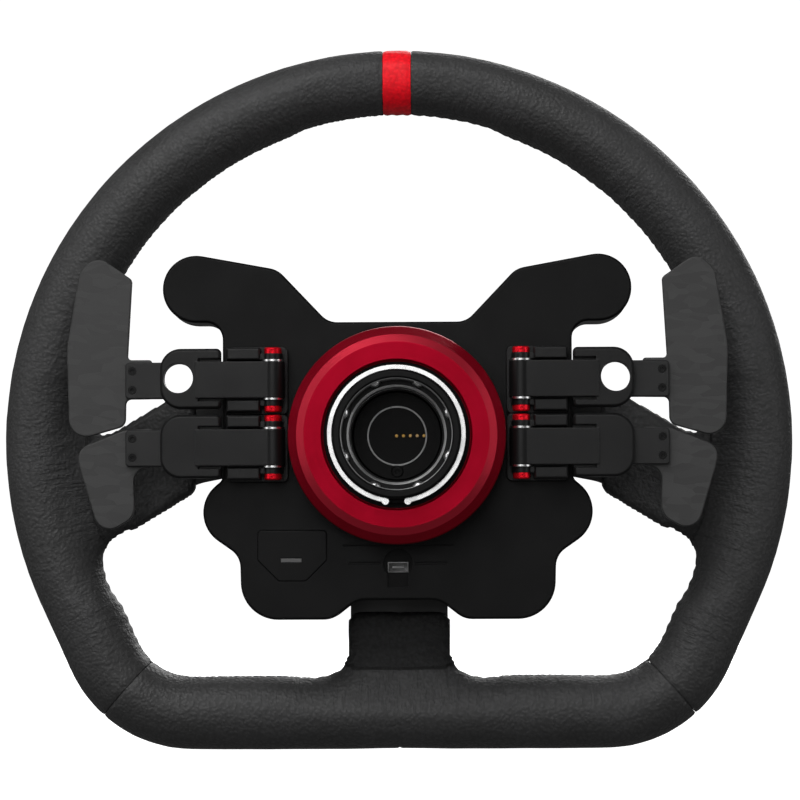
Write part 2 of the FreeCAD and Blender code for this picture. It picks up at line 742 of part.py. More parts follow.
def make_usb():
    y0 = HOUSING_Y + USB_RECESS_DEPTH - USB_PROUD
    half_w, half_h, t = USB_W / 2, USB_H / 2, USB_SHELL_T
    outer = box(-half_w, half_w, y0, BOARD_Y, USB_Z - half_h, USB_Z + half_h)
    inner = box(-half_w + t, half_w - t, y0 - OVER, BOARD_Y - OVER, USB_Z - half_h + t, USB_Z + half_h - t)
    wide, high, back, lift = USB_TONGUE
    tongue = box(-wide, wide, y0 + back, BOARD_Y - lift, USB_Z - high, USB_Z + high)
    return outer.cut(inner).fuse(tongue)


# ---- hub, contacts and collar ----
def make_hub():
    end = PILOT_LENGTH + CONTACT_GAP + CONTACT_T
    profile = [
        (MOUTH_R + NOSE_EDGE, NOSE_Y),
        (HUB_R - NOSE_EDGE, NOSE_Y),
        (HUB_R, NOSE_Y + NOSE_EDGE),
        (HUB_R, FLANGE_Y),
        (FLANGE_R, FLANGE_Y),
        (FLANGE_R, HOUSING_Y),
        (HUB_WIRE_R, HOUSING_Y),
        (HUB_WIRE_R, end),
        (PILOT_R - CONTACT_SEAT, end),
        (PILOT_R - CONTACT_SEAT, PILOT_LENGTH),
        (PILOT_R, PILOT_LENGTH),
        (PILOT_R, 0),
        (PILOT_R + PILOT_LEAD, -PILOT_LEAD),
        (MOUTH_R, -PILOT_LEAD),
        (MOUTH_R, NOSE_Y + NOSE_EDGE),
    ]
    hub = turned(profile)
    hub = hub.cut(ring_y(RING_IN_R, HUB_R + 1, RING_Y - RUN, RING_Y + RING_T + RUN))
    for i in range(BALL_COUNT):
        hub = hub.cut(ball_pocket(i))
    for x, z in bolt_places():
        hub = hub.cut(rod_y(BOLT_R, FLANGE_Y + OVER, HOUSING_Y + OVER, x, z))
    write("qr_hub", hub)
    balls = []
    for i in range(BALL_COUNT):
        ball = Part.makeSphere(BALL_R, Vector(BALL_IN + BALL_R, BALL_Y, 0))
        ball.rotate(Vector(0, 0, 0), Vector(0, 1, 0), ball_turn(i))
        balls.append(ball)
    write("locking_balls", Part.makeCompound(balls))
    write("snap_ring", make_snap_ring())


def ball_turn(i):
    return 360 / BALL_COUNT * (i + 0.5)


def ball_pocket(i):
    start = Vector(MOUTH_R - BALL_POCKET_START, BALL_Y, 0)
    pocket = Part.makeCylinder(BALL_R + RUN, HUB_R, start, Vector(1, 0, 0))
    pocket = pocket.common(rod_y(HUB_R + BALL_POCKET_START, NOSE_Y, FLANGE_Y))
    pocket.rotate(Vector(0, 0, 0), Vector(0, 1, 0), ball_turn(i))
    return pocket


def make_snap_ring():
    ring = ring_y(RING_IN_R + RUN, RING_OUT_R, RING_Y, RING_Y + RING_T)
    gap = box(-RING_GAP_HALF, RING_GAP_HALF, RING_Y - 1, RING_Y + RING_T + 1, -RING_OUT_R - 1, 0)
    ring = ring.cut(gap)
    hooks = []
    for sign in (-1, 1):
        x = sign * (RING_GAP_HALF + HOOK_IN)
        z = -math.sqrt(RING_OUT_R ** 2 - x ** 2) + HOOK_IN
        hook = ring_y(HOOK_HOLE_R, HOOK_R, RING_Y, RING_Y + RING_T, x, z)
        hooks.append(hook.cut(rod_y(HUB_R + RUN, RING_Y - OVER, 0)))
    return fuse([ring] + hooks)


def make_contacts():
    y0 = PILOT_LENGTH + CONTACT_GAP
    y1 = y0 + CONTACT_T
    block = rod_y(PILOT_R - CONTACT_SEAT - FIT, y0, y1)
    block = block.makeChamfer(BLOCK_EDGE, edges_at(block, y0))
    ridge = ring_y(RIDGE_R, RIDGE_R + RIDGE_W, y0 - RIDGE_T, y0 + OVER)
    ridge = ridge.cut(box(-RIDGE_BREAK, RIDGE_BREAK, y0 - OVER, y0 + 2, -PILOT_R, PILOT_R))
    block = block.fuse(ridge)
    pins = []
    for i in range(CONTACT_COUNT):
        x = CONTACT_X + i * CONTACT_PITCH
        block = block.cut(rod_y(CONTACT_R, y0 - OVER, y1 + OVER, x, 0))
        tip = rod_y(CONTACT_R * TIP_SHARE, y0 - CONTACT_PROUD, y0, x, 0)
        pins.append(rod_y(CONTACT_R, y0 - CONTACT_PROUD / 2, y1, x, 0).fuse(tip))
    z = CONTACT_SCREW_Z
    well = y0 + SCREW_WELL_DEPTH
    block = block.cut(rod_y(CONTACT_SCREW_R + SCREW_WELL, y0 - OVER, well, 0, z))
    head = rod_y(CONTACT_SCREW_R, y0 + SCREW_HEAD_BACK, well + SCREW_HEAD_BACK, 0, z)
    block = block.fuse(head.cut(rod_y(CONTACT_SCREW_R * SCREW_KEY_SHARE, y0, y0 + SCREW_KEY_DEPTH, 0, z)))
    write("contact_block", block)
    write("contact_pins", Part.makeCompound(pins))


def make_collar():
    y = COLLAR_Y
    profile = [
        (COLLAR_MOUTH_R, y + COLLAR_LIP),
        (COLLAR_MOUTH_R + COLLAR_LIP, y),
        (COLLAR_FACE_R, y),
        (COLLAR_BAND_R, y + COLLAR_BAND_DROP),
        (COLLAR_R - COLLAR_BEVEL_R, y + COLLAR_BEVEL_DROP),
        (COLLAR_R, y + COLLAR_BEVEL_DROP + OVER),
        (COLLAR_R, COLLAR_END_Y - COLLAR_EDGE),
        (COLLAR_R - COLLAR_EDGE, COLLAR_END_Y),
        (COLLAR_POCKET_R, COLLAR_END_Y),
        (COLLAR_POCKET_R, COLLAR_POCKET_Y),
        (COLLAR_BORE_R, COLLAR_POCKET_Y),
        (COLLAR_BORE_R, COLLAR_SLEEVE_Y),
        (COLLAR_SLEEVE_R, COLLAR_SLEEVE_Y),
        (COLLAR_SLEEVE_R, y + COLLAR_GROOVE),
        (COLLAR_MOUTH_R, y + COLLAR_GROOVE),
    ]
    write("qr_collar", turned(profile))
    length = FLANGE_Y - COLLAR_POCKET_Y - 2 * SPRING_WIRE_R - 2 * SPRING_GAP
    helix = Part.makeHelix(length / SPRING_TURNS, length, SPRING_R)
    wire = Part.Wire(Part.makeCircle(SPRING_WIRE_R, Vector(SPRING_R, 0, 0), Vector(0, 1, 0)))
    spring = Part.Wire(helix.Edges).makePipeShell([wire], True, True)
    spring.rotate(Vector(0, 0, 0), Vector(1, 0, 0), -90)
    spring.translate(Vector(0, COLLAR_POCKET_Y + SPRING_WIRE_R + SPRING_GAP, 0))
    write("collar_spring", spring)


def make_bolts():
    bolts = []
    for x, z in bolt_places():
        shank = rod_y(BOLT_R, FLANGE_Y + BOLT_THREAD_Y, SPOKE_END_Y, x, z)
        head = rod_y(BOLT_HEAD_R, SPOKE_END_Y, SPOKE_END_Y + BOLT_HEAD_T, x, z)
        socket = rod_y(BOLT_SOCKET_R, SPOKE_END_Y + OVER, SPOKE_END_Y + BOLT_HEAD_T + OVER, x, z)
        bolts.append(shank.fuse(head).cut(socket))
    write("qr_bolts", Part.makeCompound(bolts))


# ---- paddle modules ----
def make_bracket(zc, z0, z1):
    base = prism([(-BASE_X1, z1, 2.0), (-BASE_X1, z0, 2.0), (-BASE_X0, z0, 2.0), (-BASE_X0, z1, 2.0)],
                 BASE_Y, HOUSING_Y + BASE_SINK)
    parts = [base]
    for way in (-1, 1):
        inner, outer = sorted((zc + way * RAIL_IN, zc + way * RAIL_OUT))
        rail = box(-RAIL_X1, -RAIL_X0, RAIL_Y, BASE_Y + OVER, inner, outer)
        rail = rail.makeChamfer(RAIL_EDGE, edges_at(rail, RAIL_Y))
        ear_start = BARREL_HALF + RUN + WASHER_T
        ear_z = sorted((zc + way * ear_start, zc + way * (ear_start + EAR_T)))
        ear = rod_z(EAR_OUT_R, ear_z[0], ear_z[1], -PIN_X, PIN_Y)
        foot = box(-RAIL_X0 - 1, -PIN_X + EAR_OUT_R, PIN_Y, BASE_Y + OVER, ear_z[0], ear_z[1])
        web = box(-RAIL_X0 - 1, -PIN_X, PIN_Y - WEB_Y, BASE_Y + OVER, ear_z[0], ear_z[1])
        parts += [rail, ear, foot, web]
    bracket = fuse(parts)
    bracket = bracket.cut(rod_z(PIN_R, zc - TALL, zc + TALL, -PIN_X, PIN_Y))
    bracket = bracket.cut(rod_y(MAGNET_R, BASE_Y - OVER, BASE_Y + MAGNET_T - MAGNET_PROUD, -MAGNET_X, zc))
    for x, z in bracket_screw_places():
        bracket = bracket.cut(rod_y(SCREW_R, BASE_SCREW_Y - FIT, HOUSING_Y + WALL, x, z))
    return bracket


def make_hinge(zc):
    """Pin, two washers and two end caps of one hinge."""
    end = BARREL_HALF + RUN + WASHER_T + EAR_T
    pin = rod_z(PIN_R, zc - end - PIN_INTO_CAP, zc + end + PIN_INTO_CAP, -PIN_X, PIN_Y)
    washers = []
    caps = []
    for way in (-1, 1):
        z0, z1 = sorted((zc + way * (BARREL_HALF + RUN), zc + way * (BARREL_HALF + RUN + WASHER_T)))
        washer = rod_z(WASHER_R, z0, z1, -PIN_X, PIN_Y)
        washers.append(washer.cut(pin))
        z0, z1 = sorted((zc + way * end, zc + way * (end + CAP_T)))
        cap = rod_z(CAP_R, z0, z1, -PIN_X, PIN_Y)
        tip = [e for e in cap.Edges if abs(e.BoundBox.ZMin - (zc + way * (end + CAP_T))) < 1e-4
               and e.BoundBox.ZLength < 1e-4]
        cap = cap.makeChamfer(CAP_EDGE, tip).cut(pin)
        grub_y = PIN_Y - CAP_R
        caps.append(cap.cut(rod_y(CAP_HOLE_R, grub_y - OVER, grub_y + CAP_HOLE_DEPTH, -PIN_X, (z0 + z1) / 2)))
    return pin, washers, caps


def make_lever(zc, up, down, eye):
    y0 = PAD_Y
    top, low = zc + up, zc - down
    corners = [(-PAD_X0, top, PAD_END_R), (-PAD_X1, top, PAD_R)]
    corners += [(-PAD_X1, low, PAD_R), (-PAD_X0, low, PAD_END_R)]
    pad = prism(corners, y0, y0 + PAD_T)
    pad = pad.makeChamfer(PAD_EDGE, edges_at(pad, y0))
    for way in (-1, 1):
        z0, z1 = sorted((zc + way * BARREL_HALF, zc + way * (BARREL_HALF + SLOT_H)))
        pad = pad.cut(box(-SLOT_X1, -SLOT_X0, y0 - OVER, y0 + SLOT_DEPTH, z0, z1))
    arm = box(-ARM_END_X, -PIN_X, ARM_Y, ARM_Y + ARM_T, zc - BARREL_HALF, zc + BARREL_HALF)
    barrel = rod_z(BARREL_R, zc - BARREL_HALF, zc + BARREL_HALF, -PIN_X, PIN_Y)
    lever = fuse([pad, arm, barrel])
    lever = lever.cut(rod_z(PIN_R + RUN, zc - TALL, zc + TALL, -PIN_X, PIN_Y))
    if eye:
        lever = lever.cut(rod_y(EYE_R, 0, BASE_Y, -EYE_X, zc + EYE_RISE))
    return lever


def make_extension(zc, eye):
    y0 = PAD_Y + PAD_T
    plate = prism([(-EXT_X0, zc + EXT_HALF, 1.0), (-EXT_X1, zc + EXT_HALF, 1.4),
                   (-EXT_X1, zc - EXT_HALF, 1.4), (-EXT_X0, zc - EXT_HALF, 1.0)], y0, y0 + EXT_T)
    plate = plate.makeChamfer(EXT_EDGE, edges_at(plate, y0))
    for z in (zc - BLADE_SCREW_HALF, zc + BLADE_SCREW_HALF):
        plate = plate.cut(rod_y(BLADE_SCREW_R, y0 - OVER, y0 + BLADE_T + EXT_T, -BLADE_SCREW_X, z))
        plate = plate.cut(rod_y(BLADE_HEAD_R, y0 - OVER, y0 + BLADE_HEAD_T, -BLADE_SCREW_X, z))
    if eye:
        plate = plate.cut(rod_y(EYE_R, y0 - OVER, y0 + BLADE_T + EXT_T, -EYE_X, zc + EYE_RISE))
    return plate


def make_blade(outline, zc):
    y0 = PAD_Y + PAD_T + EXT_T
    blade = prism(outline, y0, y0 + BLADE_T)
    blade = blade.makeChamfer(BLADE_EDGE, edges_at(blade, y0))
    for z in (zc - BLADE_SCREW_HALF, zc + BLADE_SCREW_HALF):
        blade = blade.cut(rod_y(BLADE_SCREW_R, y0 - OVER, y0 + BLADE_T + EXT_T, -BLADE_SCREW_X, z))
    return blade


def make_blade_screws(zc):
    y0 = PAD_Y + PAD_T
    x = -BLADE_SCREW_X
    screws = []
    for z in (zc - BLADE_SCREW_HALF, zc + BLADE_SCREW_HALF):
        head = rod_y(BLADE_HEAD_R, y0 + HEAD_BACK, y0 + BLADE_HEAD_T, x, z)
        shank = rod_y(BLADE_SCREW_R, y0 + BLADE_HEAD_T, y0 + EXT_T + BLADE_T - BLADE_SCREW_SHORT, x, z)
        screws.append(head.fuse(shank).cut(rod_y(BLADE_KEY_R, y0 - OVER, y0 + BLADE_KEY_DEPTH, x, z)))
    return Part.makeCompound(screws)


def make_paddles():
    middle = (UPPER_Z + LOWER_Z) / 2
    top = UPPER_Z + RAIL_OUT + BASE_MARGIN
    low = LOWER_Z - RAIL_OUT - BASE_MARGIN
    rows = {
        "upper": (UPPER_Z, middle + FIT, top, PAD_UP, PAD_DOWN, True, UPPER_BLADE),
        "lower": (LOWER_Z, low, middle - FIT, LOW_PAD_UP, LOW_PAD_DOWN, False, LOWER_BLADE),
    }
    pins, washers, caps, magnets, sensors, screws = [], [], [], [], [], []
    for row, (zc, z0, z1, up, down, eye, outline) in rows.items():
        bracket = make_bracket(zc, z0, z1)
        pin, two_washers, two_caps = make_hinge(zc)
        pins += both(pin)
        for washer, cap in zip(two_washers, two_caps):
            washers += both(washer)
            caps += both(cap)
        magnet_y = BASE_Y - MAGNET_PROUD
        magnets += both(rod_y(MAGNET_R, magnet_y, magnet_y + MAGNET_T, -MAGNET_X, zc))
        sensors += both(box(-MAGNET_X - SENSOR[0], -MAGNET_X + SENSOR[0], BOARD_Y - SENSOR[2], BOARD_Y,
                            zc - SENSOR[1], zc + SENSOR[1]))
        for side in SIDES:
            write("paddle_bracket_" + row + "_" + side, on_side(bracket, side))
            write("lever_" + row + "_" + side, on_side(make_lever(zc, up, down, eye), side))
            write("extension_" + row + "_" + side, on_side(make_extension(zc, eye), side))
            write("blade_" + row + "_" + side, on_side(make_blade(outline, zc), side))
            write("blade_screws_" + row + "_" + side, on_side(make_blade_screws(zc), side))
    for x, z in bracket_screw_places():
        inside = HOUSING_Y + WALL
        shank = rod_y(SCREW_R, BASE_SCREW_Y, inside, x, z)
        screws += both(shank.fuse(rod_y(SCREW_HEAD_R, inside, inside + SCREW_HEAD_T, x, z)))
    write("hinge_pins", Part.makeCompound(pins))
    write("hinge_washers", Part.makeCompound(washers))
    write("pin_caps", Part.makeCompound(caps))
    write("bracket_magnets", Part.makeCompound(magnets))
    write("paddle_sensors", Part.makeCompound(sensors))
    write("bracket_screws", Part.makeCompound(screws))


# ---- controls on the driver's side ----
def make_button(x, z):
    y0 = FRONT_Y - BUTTON_STEM - PLATE_T
    cap = rod_y(BUTTON_R, FRONT_Y - PLATE_T - BUTTON_SKIRT, FRONT_Y + BUTTON_TOP, x, z)
    cap = cap.makeChamfer(BUTTON_EDGE, edges_at(cap, FRONT_Y + BUTTON_TOP))
    return cap.fuse(rod_y(STEM_R, y0, FRONT_Y - PLATE_T, x, z))


def make_switch(x, z):
    """A push switch standing on the main board under one button's stem."""
    y1 = FRONT_Y - BUTTON_STEM - PLATE_T
    half = SWITCH_HALF
    return box(x - half, x + half, BOARD_Y + BOARD_T, y1 - SWITCH_TOP, z - half, z + half)


def make_knob(x, z):
    y0 = FRONT_Y + KNOB_GAP
    knob = rod_y(KNOB_R, y0, y0 + KNOB_H, x, z)
    knob = knob.makeChamfer(KNOB_EDGE, edges_at(knob, y0 + KNOB_H))
    for i in range(KNOB_GRIPS):
        turn = 2 * math.pi * i / KNOB_GRIPS
        gx = x + KNOB_R * math.cos(turn)
        gz = z + KNOB_R * math.sin(turn)
        knob = knob.cut(rod_y(KNOB_GRIP_R, y0 + KNOB_GRIP_START, y0 + KNOB_H + OVER, gx, gz))
    half, start, margin, depth = KNOB_MARK
    top = y0 + KNOB_H
    knob = knob.cut(box(x - half, x + half, top - depth, top + OVER, z + start, z + KNOB_R - margin))
    return knob.fuse(rod_y(SHAFT_R, PLATE_Y - ENCODER_T + SHAFT_SEAT, y0 + OVER, x, z))


def make_encoder(x, z):
    half = ENCODER_HALF
    body = box(x - half, x + half, PLATE_Y - ENCODER_T, PLATE_Y, z - half, z + half)
    return body.cut(rod_y(SHAFT_R + RUN, PLATE_Y - ENCODER_T + SHAFT_SEAT - FIT, PLATE_Y + OVER, x, z))


def make_controls():
    for side, sign in SIDES.items():
        for row, (x, z) in BUTTON_PLACES.items():
            write("button_" + row + "_" + side, make_button(-sign * x, z))
        for row, (x, z) in KNOB_PLACES.items():
            write("knob_" + row + "_" + side, make_knob(-sign * x, z))
    bezels = []
    switches = []
    for x, z in button_places():
        bezel = ring_y(BUTTON_R + HOLE_FIT, BEZEL_R, FRONT_Y, FRONT_Y + BEZEL_T, x, z)
        bezels.append(bezel.makeChamfer(BEZEL_EDGE, [edges_at(bezel, FRONT_Y + BEZEL_T)[0]]))
        switches.append(make_switch(x, z))
    write("button_bezels", Part.makeCompound(bezels))
    write("button_switches", Part.makeCompound(switches))
    write("encoder_bodies", Part.makeCompound([make_encoder(x, z) for x, z in knob_places()]))
    disc = rod_y(CAP_DISC_R, SPOKE_END_Y, SPOKE_END_Y + CAP_DISC_T)
    disc = disc.makeChamfer(CAP_DISC_EDGE, edges_at(disc, SPOKE_END_Y + CAP_DISC_T))
    write("hub_cap", disc)


make_rim()
make_housing()
make_hub()
make_contacts()
make_collar()
make_bolts()
make_paddles()
make_controls()
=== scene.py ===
# %% [markdown]
# A racing wheel rim for a simulator, seen from behind, where it locks to its base.
# The metal parts come ready-made from the CAD model. This lesson gives them their finishes
# and makes what CAD leaves plain: the stretched leather, its seams and its lacing.

# %% Load the CAD model
import json
import math
import bpy
import numpy as np
from mathutils.bvhtree import BVHTree
from mathutils import Matrix, Vector, kdtree


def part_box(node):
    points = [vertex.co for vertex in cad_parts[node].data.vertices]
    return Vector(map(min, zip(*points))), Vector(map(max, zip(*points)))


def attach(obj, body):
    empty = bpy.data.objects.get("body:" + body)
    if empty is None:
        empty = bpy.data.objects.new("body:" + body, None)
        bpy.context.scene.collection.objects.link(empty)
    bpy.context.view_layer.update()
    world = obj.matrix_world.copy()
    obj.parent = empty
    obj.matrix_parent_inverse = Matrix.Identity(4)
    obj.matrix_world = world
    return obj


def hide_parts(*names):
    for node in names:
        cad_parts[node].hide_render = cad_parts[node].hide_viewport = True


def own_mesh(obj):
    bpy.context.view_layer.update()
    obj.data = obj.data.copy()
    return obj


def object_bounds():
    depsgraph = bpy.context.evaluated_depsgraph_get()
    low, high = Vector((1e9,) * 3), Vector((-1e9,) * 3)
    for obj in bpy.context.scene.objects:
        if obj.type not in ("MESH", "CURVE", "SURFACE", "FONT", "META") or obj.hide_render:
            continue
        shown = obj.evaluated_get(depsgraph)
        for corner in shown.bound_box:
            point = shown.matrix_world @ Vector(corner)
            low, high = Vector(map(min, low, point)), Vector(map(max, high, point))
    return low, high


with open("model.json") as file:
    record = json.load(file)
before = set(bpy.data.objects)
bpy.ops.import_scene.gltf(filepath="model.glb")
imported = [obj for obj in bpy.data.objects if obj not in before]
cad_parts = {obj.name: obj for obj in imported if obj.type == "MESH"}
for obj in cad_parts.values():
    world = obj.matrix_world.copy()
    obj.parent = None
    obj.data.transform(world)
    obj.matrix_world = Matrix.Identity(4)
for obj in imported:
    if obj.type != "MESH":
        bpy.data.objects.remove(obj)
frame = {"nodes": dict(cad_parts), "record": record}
cad_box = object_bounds()
nodes = frame["nodes"]

# %% [markdown]
# The camera stands behind the wheel, a little to the right of the hub and a little below it,
# so the ring's inside shows below and the hub leans up and left. A long lens from far off keeps
# the circles round. Its width of view follows from the lens and Blender's 36 mm sensor.

# %% Camera
camera = bpy.data.objects.new("camera", bpy.data.cameras.new("camera"))
bpy.context.scene.collection.objects.link(camera)
camera.location = (0.0185, -1.250, -0.0450)
aim = Vector((0.0006, 0.050, 0.0150))
camera_roll = math.radians(-0.25)
camera.rotation_euler = (aim - camera.location).to_track_quat("-Z", "Y").to_euler()
camera.rotation_euler.rotate_axis("Z", camera_roll)
camera.data.lens = 153.6
camera.data.clip_start = 0.05
bpy.context.scene.camera = camera
print("camera", round((aim - camera.location).length, 3), "m from the rim")

# %% [markdown]
# Shader maths reads best as plain sums. `Value` holds one output socket and turns + - * into
# Math nodes. `Finish` is one material: its `node` method makes any other node, settings first,
# then sockets, and its `set` method fills the Principled shader.

# %% Value: a socket that can be used in sums
class Value:
    def __init__(self, finish, socket):
        self.finish = finish
        self.socket = socket

    def math(self, operation, other=0.0, swap=False):
        pair = (other, self) if swap else (self, other)
        return self.finish.node("Math", {"operation": operation}, {0: pair[0], 1: pair[1]})

    def __add__(self, other):
        return self.math("ADD", other)

    def __sub__(self, other):
        return self.math("SUBTRACT", other)

    def __mul__(self, other):
        return self.math("MULTIPLY", other)

    def __rsub__(self, other):
        return self.math("SUBTRACT", other, swap=True)

    __radd__ = __add__
    __rmul__ = __mul__


print("Value ready: + - * on sockets")


# %% Finish: one material and the nodes in it
class Finish:
    def __init__(self, name):
        self.material = bpy.data.materials.new(name)
        self.material.use_nodes = True
        self.tree = self.material.node_tree
        self.shader = self.tree.nodes["Principled BSDF"]

    def node(self, kind, settings=None, inputs=None, out=0):
        made = self.tree.nodes.new("ShaderNode" + kind)
        for key, value in (settings or {}).items():
            setattr(made, key, value)
        for key, value in (inputs or {}).items():
            socket = self.find(made.inputs, key)
            if isinstance(value, Value):
                self.tree.links.new(value.socket, socket)
            else:
                socket.default_value = value
        return Value(self, self.find(made.outputs, out))

    def find(self, sockets, key):
        if isinstance(key, int):
            return sockets[key]
        return next(s for s in sockets if key in (s.identifier, s.name))

    def set(self, values):
        for key, value in values.items():
            if isinstance(value, Value):
                self.tree.links.new(value.socket, self.shader.inputs[key])
            else:
                self.shader.inputs[key].default_value = value
        return self.material

    def place(self):
        return self.node("TexCoord", out="Object")

    def stretch(self, where, amount):
        return self.node("VectorMath", {"operation": "MULTIPLY"}, {0: where, 1: amount})

    def flow(self, amount):
        where = self.node("Attribute", {"attribute_name": "flow"}, out="Vector")
        return self.stretch(where, amount)

    def noise(self, where, scale, detail=3.0, rough=0.5):
        sockets = {"Vector": where, "Scale": scale, "Detail": detail, "Roughness": rough}
        return self.node("TexNoise", {}, sockets)

    def cells(self, where, scale, feature="F1", out="Distance"):
        sockets = {"Vector": where, "Scale": scale}
        return self.node("TexVoronoi", {"feature": feature}, sockets, out)

    def between(self, value, low, high, out_low=0.0, out_high=1.0):
        sockets = {
            "Value": value,
            "From Min": low,
            "From Max": high,
            "To Min": out_low,
            "To Max": out_high,
        }
        return self.node("MapRange", {"interpolation_type": "SMOOTHSTEP"}, sockets)

    def blend(self, amount, first, second):
        sockets = {"Factor_Float": amount, "A_Color": first, "B_Color": second}
        return self.node("Mix", {"data_type": "RGBA"}, sockets, "Result_Color")

    def bump(self, height, depth, below=None):
        sockets = {"Height": height, "Distance": depth, "Strength": 1.0}
        if below:
            sockets["Normal"] = below
        return self.node("Bump", {}, sockets)

    def soft_edge(self, radius):
        return self.node("Bevel", {"samples": 4}, {"Radius": radius})


def grey(level, tint=0.0):
    return (level, level, level * (1 + tint), 1.0)


def scaled(colour, share):
    return tuple(c * share for c in colour[:3]) + (1.0,)


print("Finish ready")

# %% [markdown]
# Leather. Calf leather dyed black is never flat: its grain is a net of tiny pebbles about a
# millimetre across, with pores inside, and where it is stretched round a ring it creases across
# the grip. The creases follow the ring, so they read the piece's own "flow" attribute, which
# holds metres along the ring, metres round the section and how worked the spot is.

# %% Leather
pebbles_per_m = 820.0
pores_per_m = 2600.0
patches_per_m = 26.0
creases_per_m = (330.0, 70.0, 1.0)


def leather(name, dark, light, shine, crease_depth, grain_depth=0.00016, specular=0.36):
    finish = Finish(name)
    where = finish.place()
    pebbles = finish.cells(where, pebbles_per_m, "SMOOTH_F1")
    pores = finish.noise(where, pores_per_m, 2.0)
    patches = finish.noise(where, patches_per_m, 3.0, 0.6)
    creases = finish.noise(finish.flow(creases_per_m), 1.0, 4.0, 0.62)
    worked = finish.node("SeparateXYZ", {}, {0: finish.flow((1.0, 1.0, 1.0))}, "Z")
    folds = finish.between(creases, 0.42, 0.60) * finish.between(patches, 0.35, 0.7, 0.25, 1.0)
    grain = finish.between(pebbles, 0.1, 0.75)
    colour = finish.blend(finish.between(patches, 0.3, 0.7), dark, light)
    # Painted shade: the grain's low valleys are drawn darker in the colour.
    colour = finish.blend(grain * 0.35, colour, scaled(dark, 0.3))
    fine = finish.bump(grain * -1.0 + pores * 0.25, grain_depth)
    normal = finish.bump(folds * (worked * 0.88 + 0.12), crease_depth, fine)
    return finish.set({
        "Base Color": colour,
        "Roughness": finish.between(patches + grain * 0.3, 0.3, 0.9, shine, shine + 0.16),
        "Specular IOR Level": specular,
        "Normal": normal,
    })


grip_leather = leather("grip_leather", grey(0.027), grey(0.035, 0.02), 0.50, 0.00032)
stripe_dark = (0.84, 0.002, 0.011, 1)
stripe_light = (0.90, 0.003, 0.014, 1)
stripe_leather = leather("stripe_leather", stripe_dark, stripe_light, 0.42, 0.0, 0.00006, 0.22)
print("two leathers ready")

# %% [markdown]
# Black anodised aluminium. The metal is bead blasted, then dyed, so it is nearly black with a
# very fine frost. Machined edges are a little rounded, which a Bevel node gives for the light.
# The edges are also painted lighter in the colour: partly rub wear, partly a painted highlight
# where the chamfers catch the light.

# %% Anodised and painted metals
blast_per_m = 5200.0


def coated(name, level, rough, edge=0.0003, edge_light=2.2, specular=0.5):
    finish = Finish(name)
    where = finish.place()
    rounded = finish.soft_edge(edge)
    flat = finish.node("NewGeometry", out="Normal")
    same = finish.node("VectorMath", {"operation": "DOT_PRODUCT"}, {0: rounded, 1: flat}, "Value")
    edges = finish.between(1.0 - same, 0.01, 0.25)
    blast = finish.noise(where, blast_per_m, 2.0)
    cloud = finish.noise(where, 60.0, 3.0)
    # Painted highlight and wear: edges get a lighter colour, partly as rub wear, partly for light
    # on the chamfers.
    rub_and_highlight = edges * finish.between(cloud, 0.35, 0.65, 0.5, 1.0)
    return finish.set({
        "Base Color": finish.blend(rub_and_highlight, grey(level, 0.03), grey(level * edge_light, 0.03)),
        "Roughness": finish.between(cloud + blast * 0.3, 0.35, 0.95, rough - 0.05, rough + 0.07),
        "Metallic": 0.0,
        "Specular IOR Level": specular,
        "Normal": finish.bump(blast, 0.00003, rounded),
    })


print("coated metals ready")

# %% [markdown]
# Black metal cut bright. When a dyed part goes back on the lathe for a last cut, the tool takes
# the dye off and leaves a shining ring of bare metal. A mask finds each ring by its distance from
# the hub axis, so one finish gives both the dull black and the bright edge.

# %% Black metal with rings cut bright
def from_axis(finish, where):
    """Distance from the hub axis."""
    flat = finish.stretch(where, (1.0, 0.0, 1.0))
    return finish.node("VectorMath", {"operation": "LENGTH"}, {0: flat}, "Value")


def ring_mask(finish, away, low, high):
    """1 between two distances from the axis, 0 elsewhere, with a soft edge."""
    soft = 0.0001
    past_low = finish.between(away, low - soft, low + soft)
    return past_low - finish.between(away, high - soft, high + soft)


def cut_bright(name, level, rough, bright, *rings):
    """A coated finish whose machined rings, given as (low, high) radii, show bare metal."""
    finish = Finish(name)
    where = finish.place()
    away = from_axis(finish, where)
    shown = ring_mask(finish, away, *rings[0])
    for low, high in rings[1:]:
        shown = shown + ring_mask(finish, away, low, high)
    blast = finish.noise(where, blast_per_m, 2.0)
    return finish.set({
        "Base Color": finish.blend(shown, grey(level, 0.03), grey(bright)),
        "Roughness": finish.between(blast, 0.3, 0.7, rough - 0.05, rough + 0.08),
        "Metallic": shown,
        "Specular IOR Level": 0.10,
        "Normal": finish.bump(blast, 0.00002, finish.soft_edge(0.0003)),
    })


print("cut bright finish ready")

# %% [markdown]
# Bare metals. The snap ring, balls, spring and pins are ground or drawn steel and the contacts
# are plated with gold. Fine lines run across the hub axis, as a grinding wheel leaves them, and
# change only how sharp the reflection is. Faint stains keep the colour from looking painted.

# %% Steels and gold
def bare_metal(name, colour, rough):
    finish = Finish(name)
    where = finish.place()
    lines = finish.noise(finish.stretch(where, (300.0, 4000.0, 300.0)), 1.0)
    stain = finish.noise(where, 180.0)
    return finish.set({
        "Base Color": finish.blend(finish.between(stain, 0.35, 0.7, 0.0, 0.35), colour, grey(0.25)),
        "Roughness": finish.between(lines, 0.3, 0.7, rough, rough + 0.06),
        "Metallic": 1.0,
        "Normal": finish.soft_edge(0.00015),
    })


print("bare metals ready")

# %% [markdown]
# The release collar is turned on a lathe and dyed red. The tool leaves rings round the axis, so
# the finish reads the distance from the hub axis, not the place alone.

# %% Turned and dyed red
tool_marks_per_m = 9000.0
sheen_band_red = (0.42, 0.018, 0.036, 1)


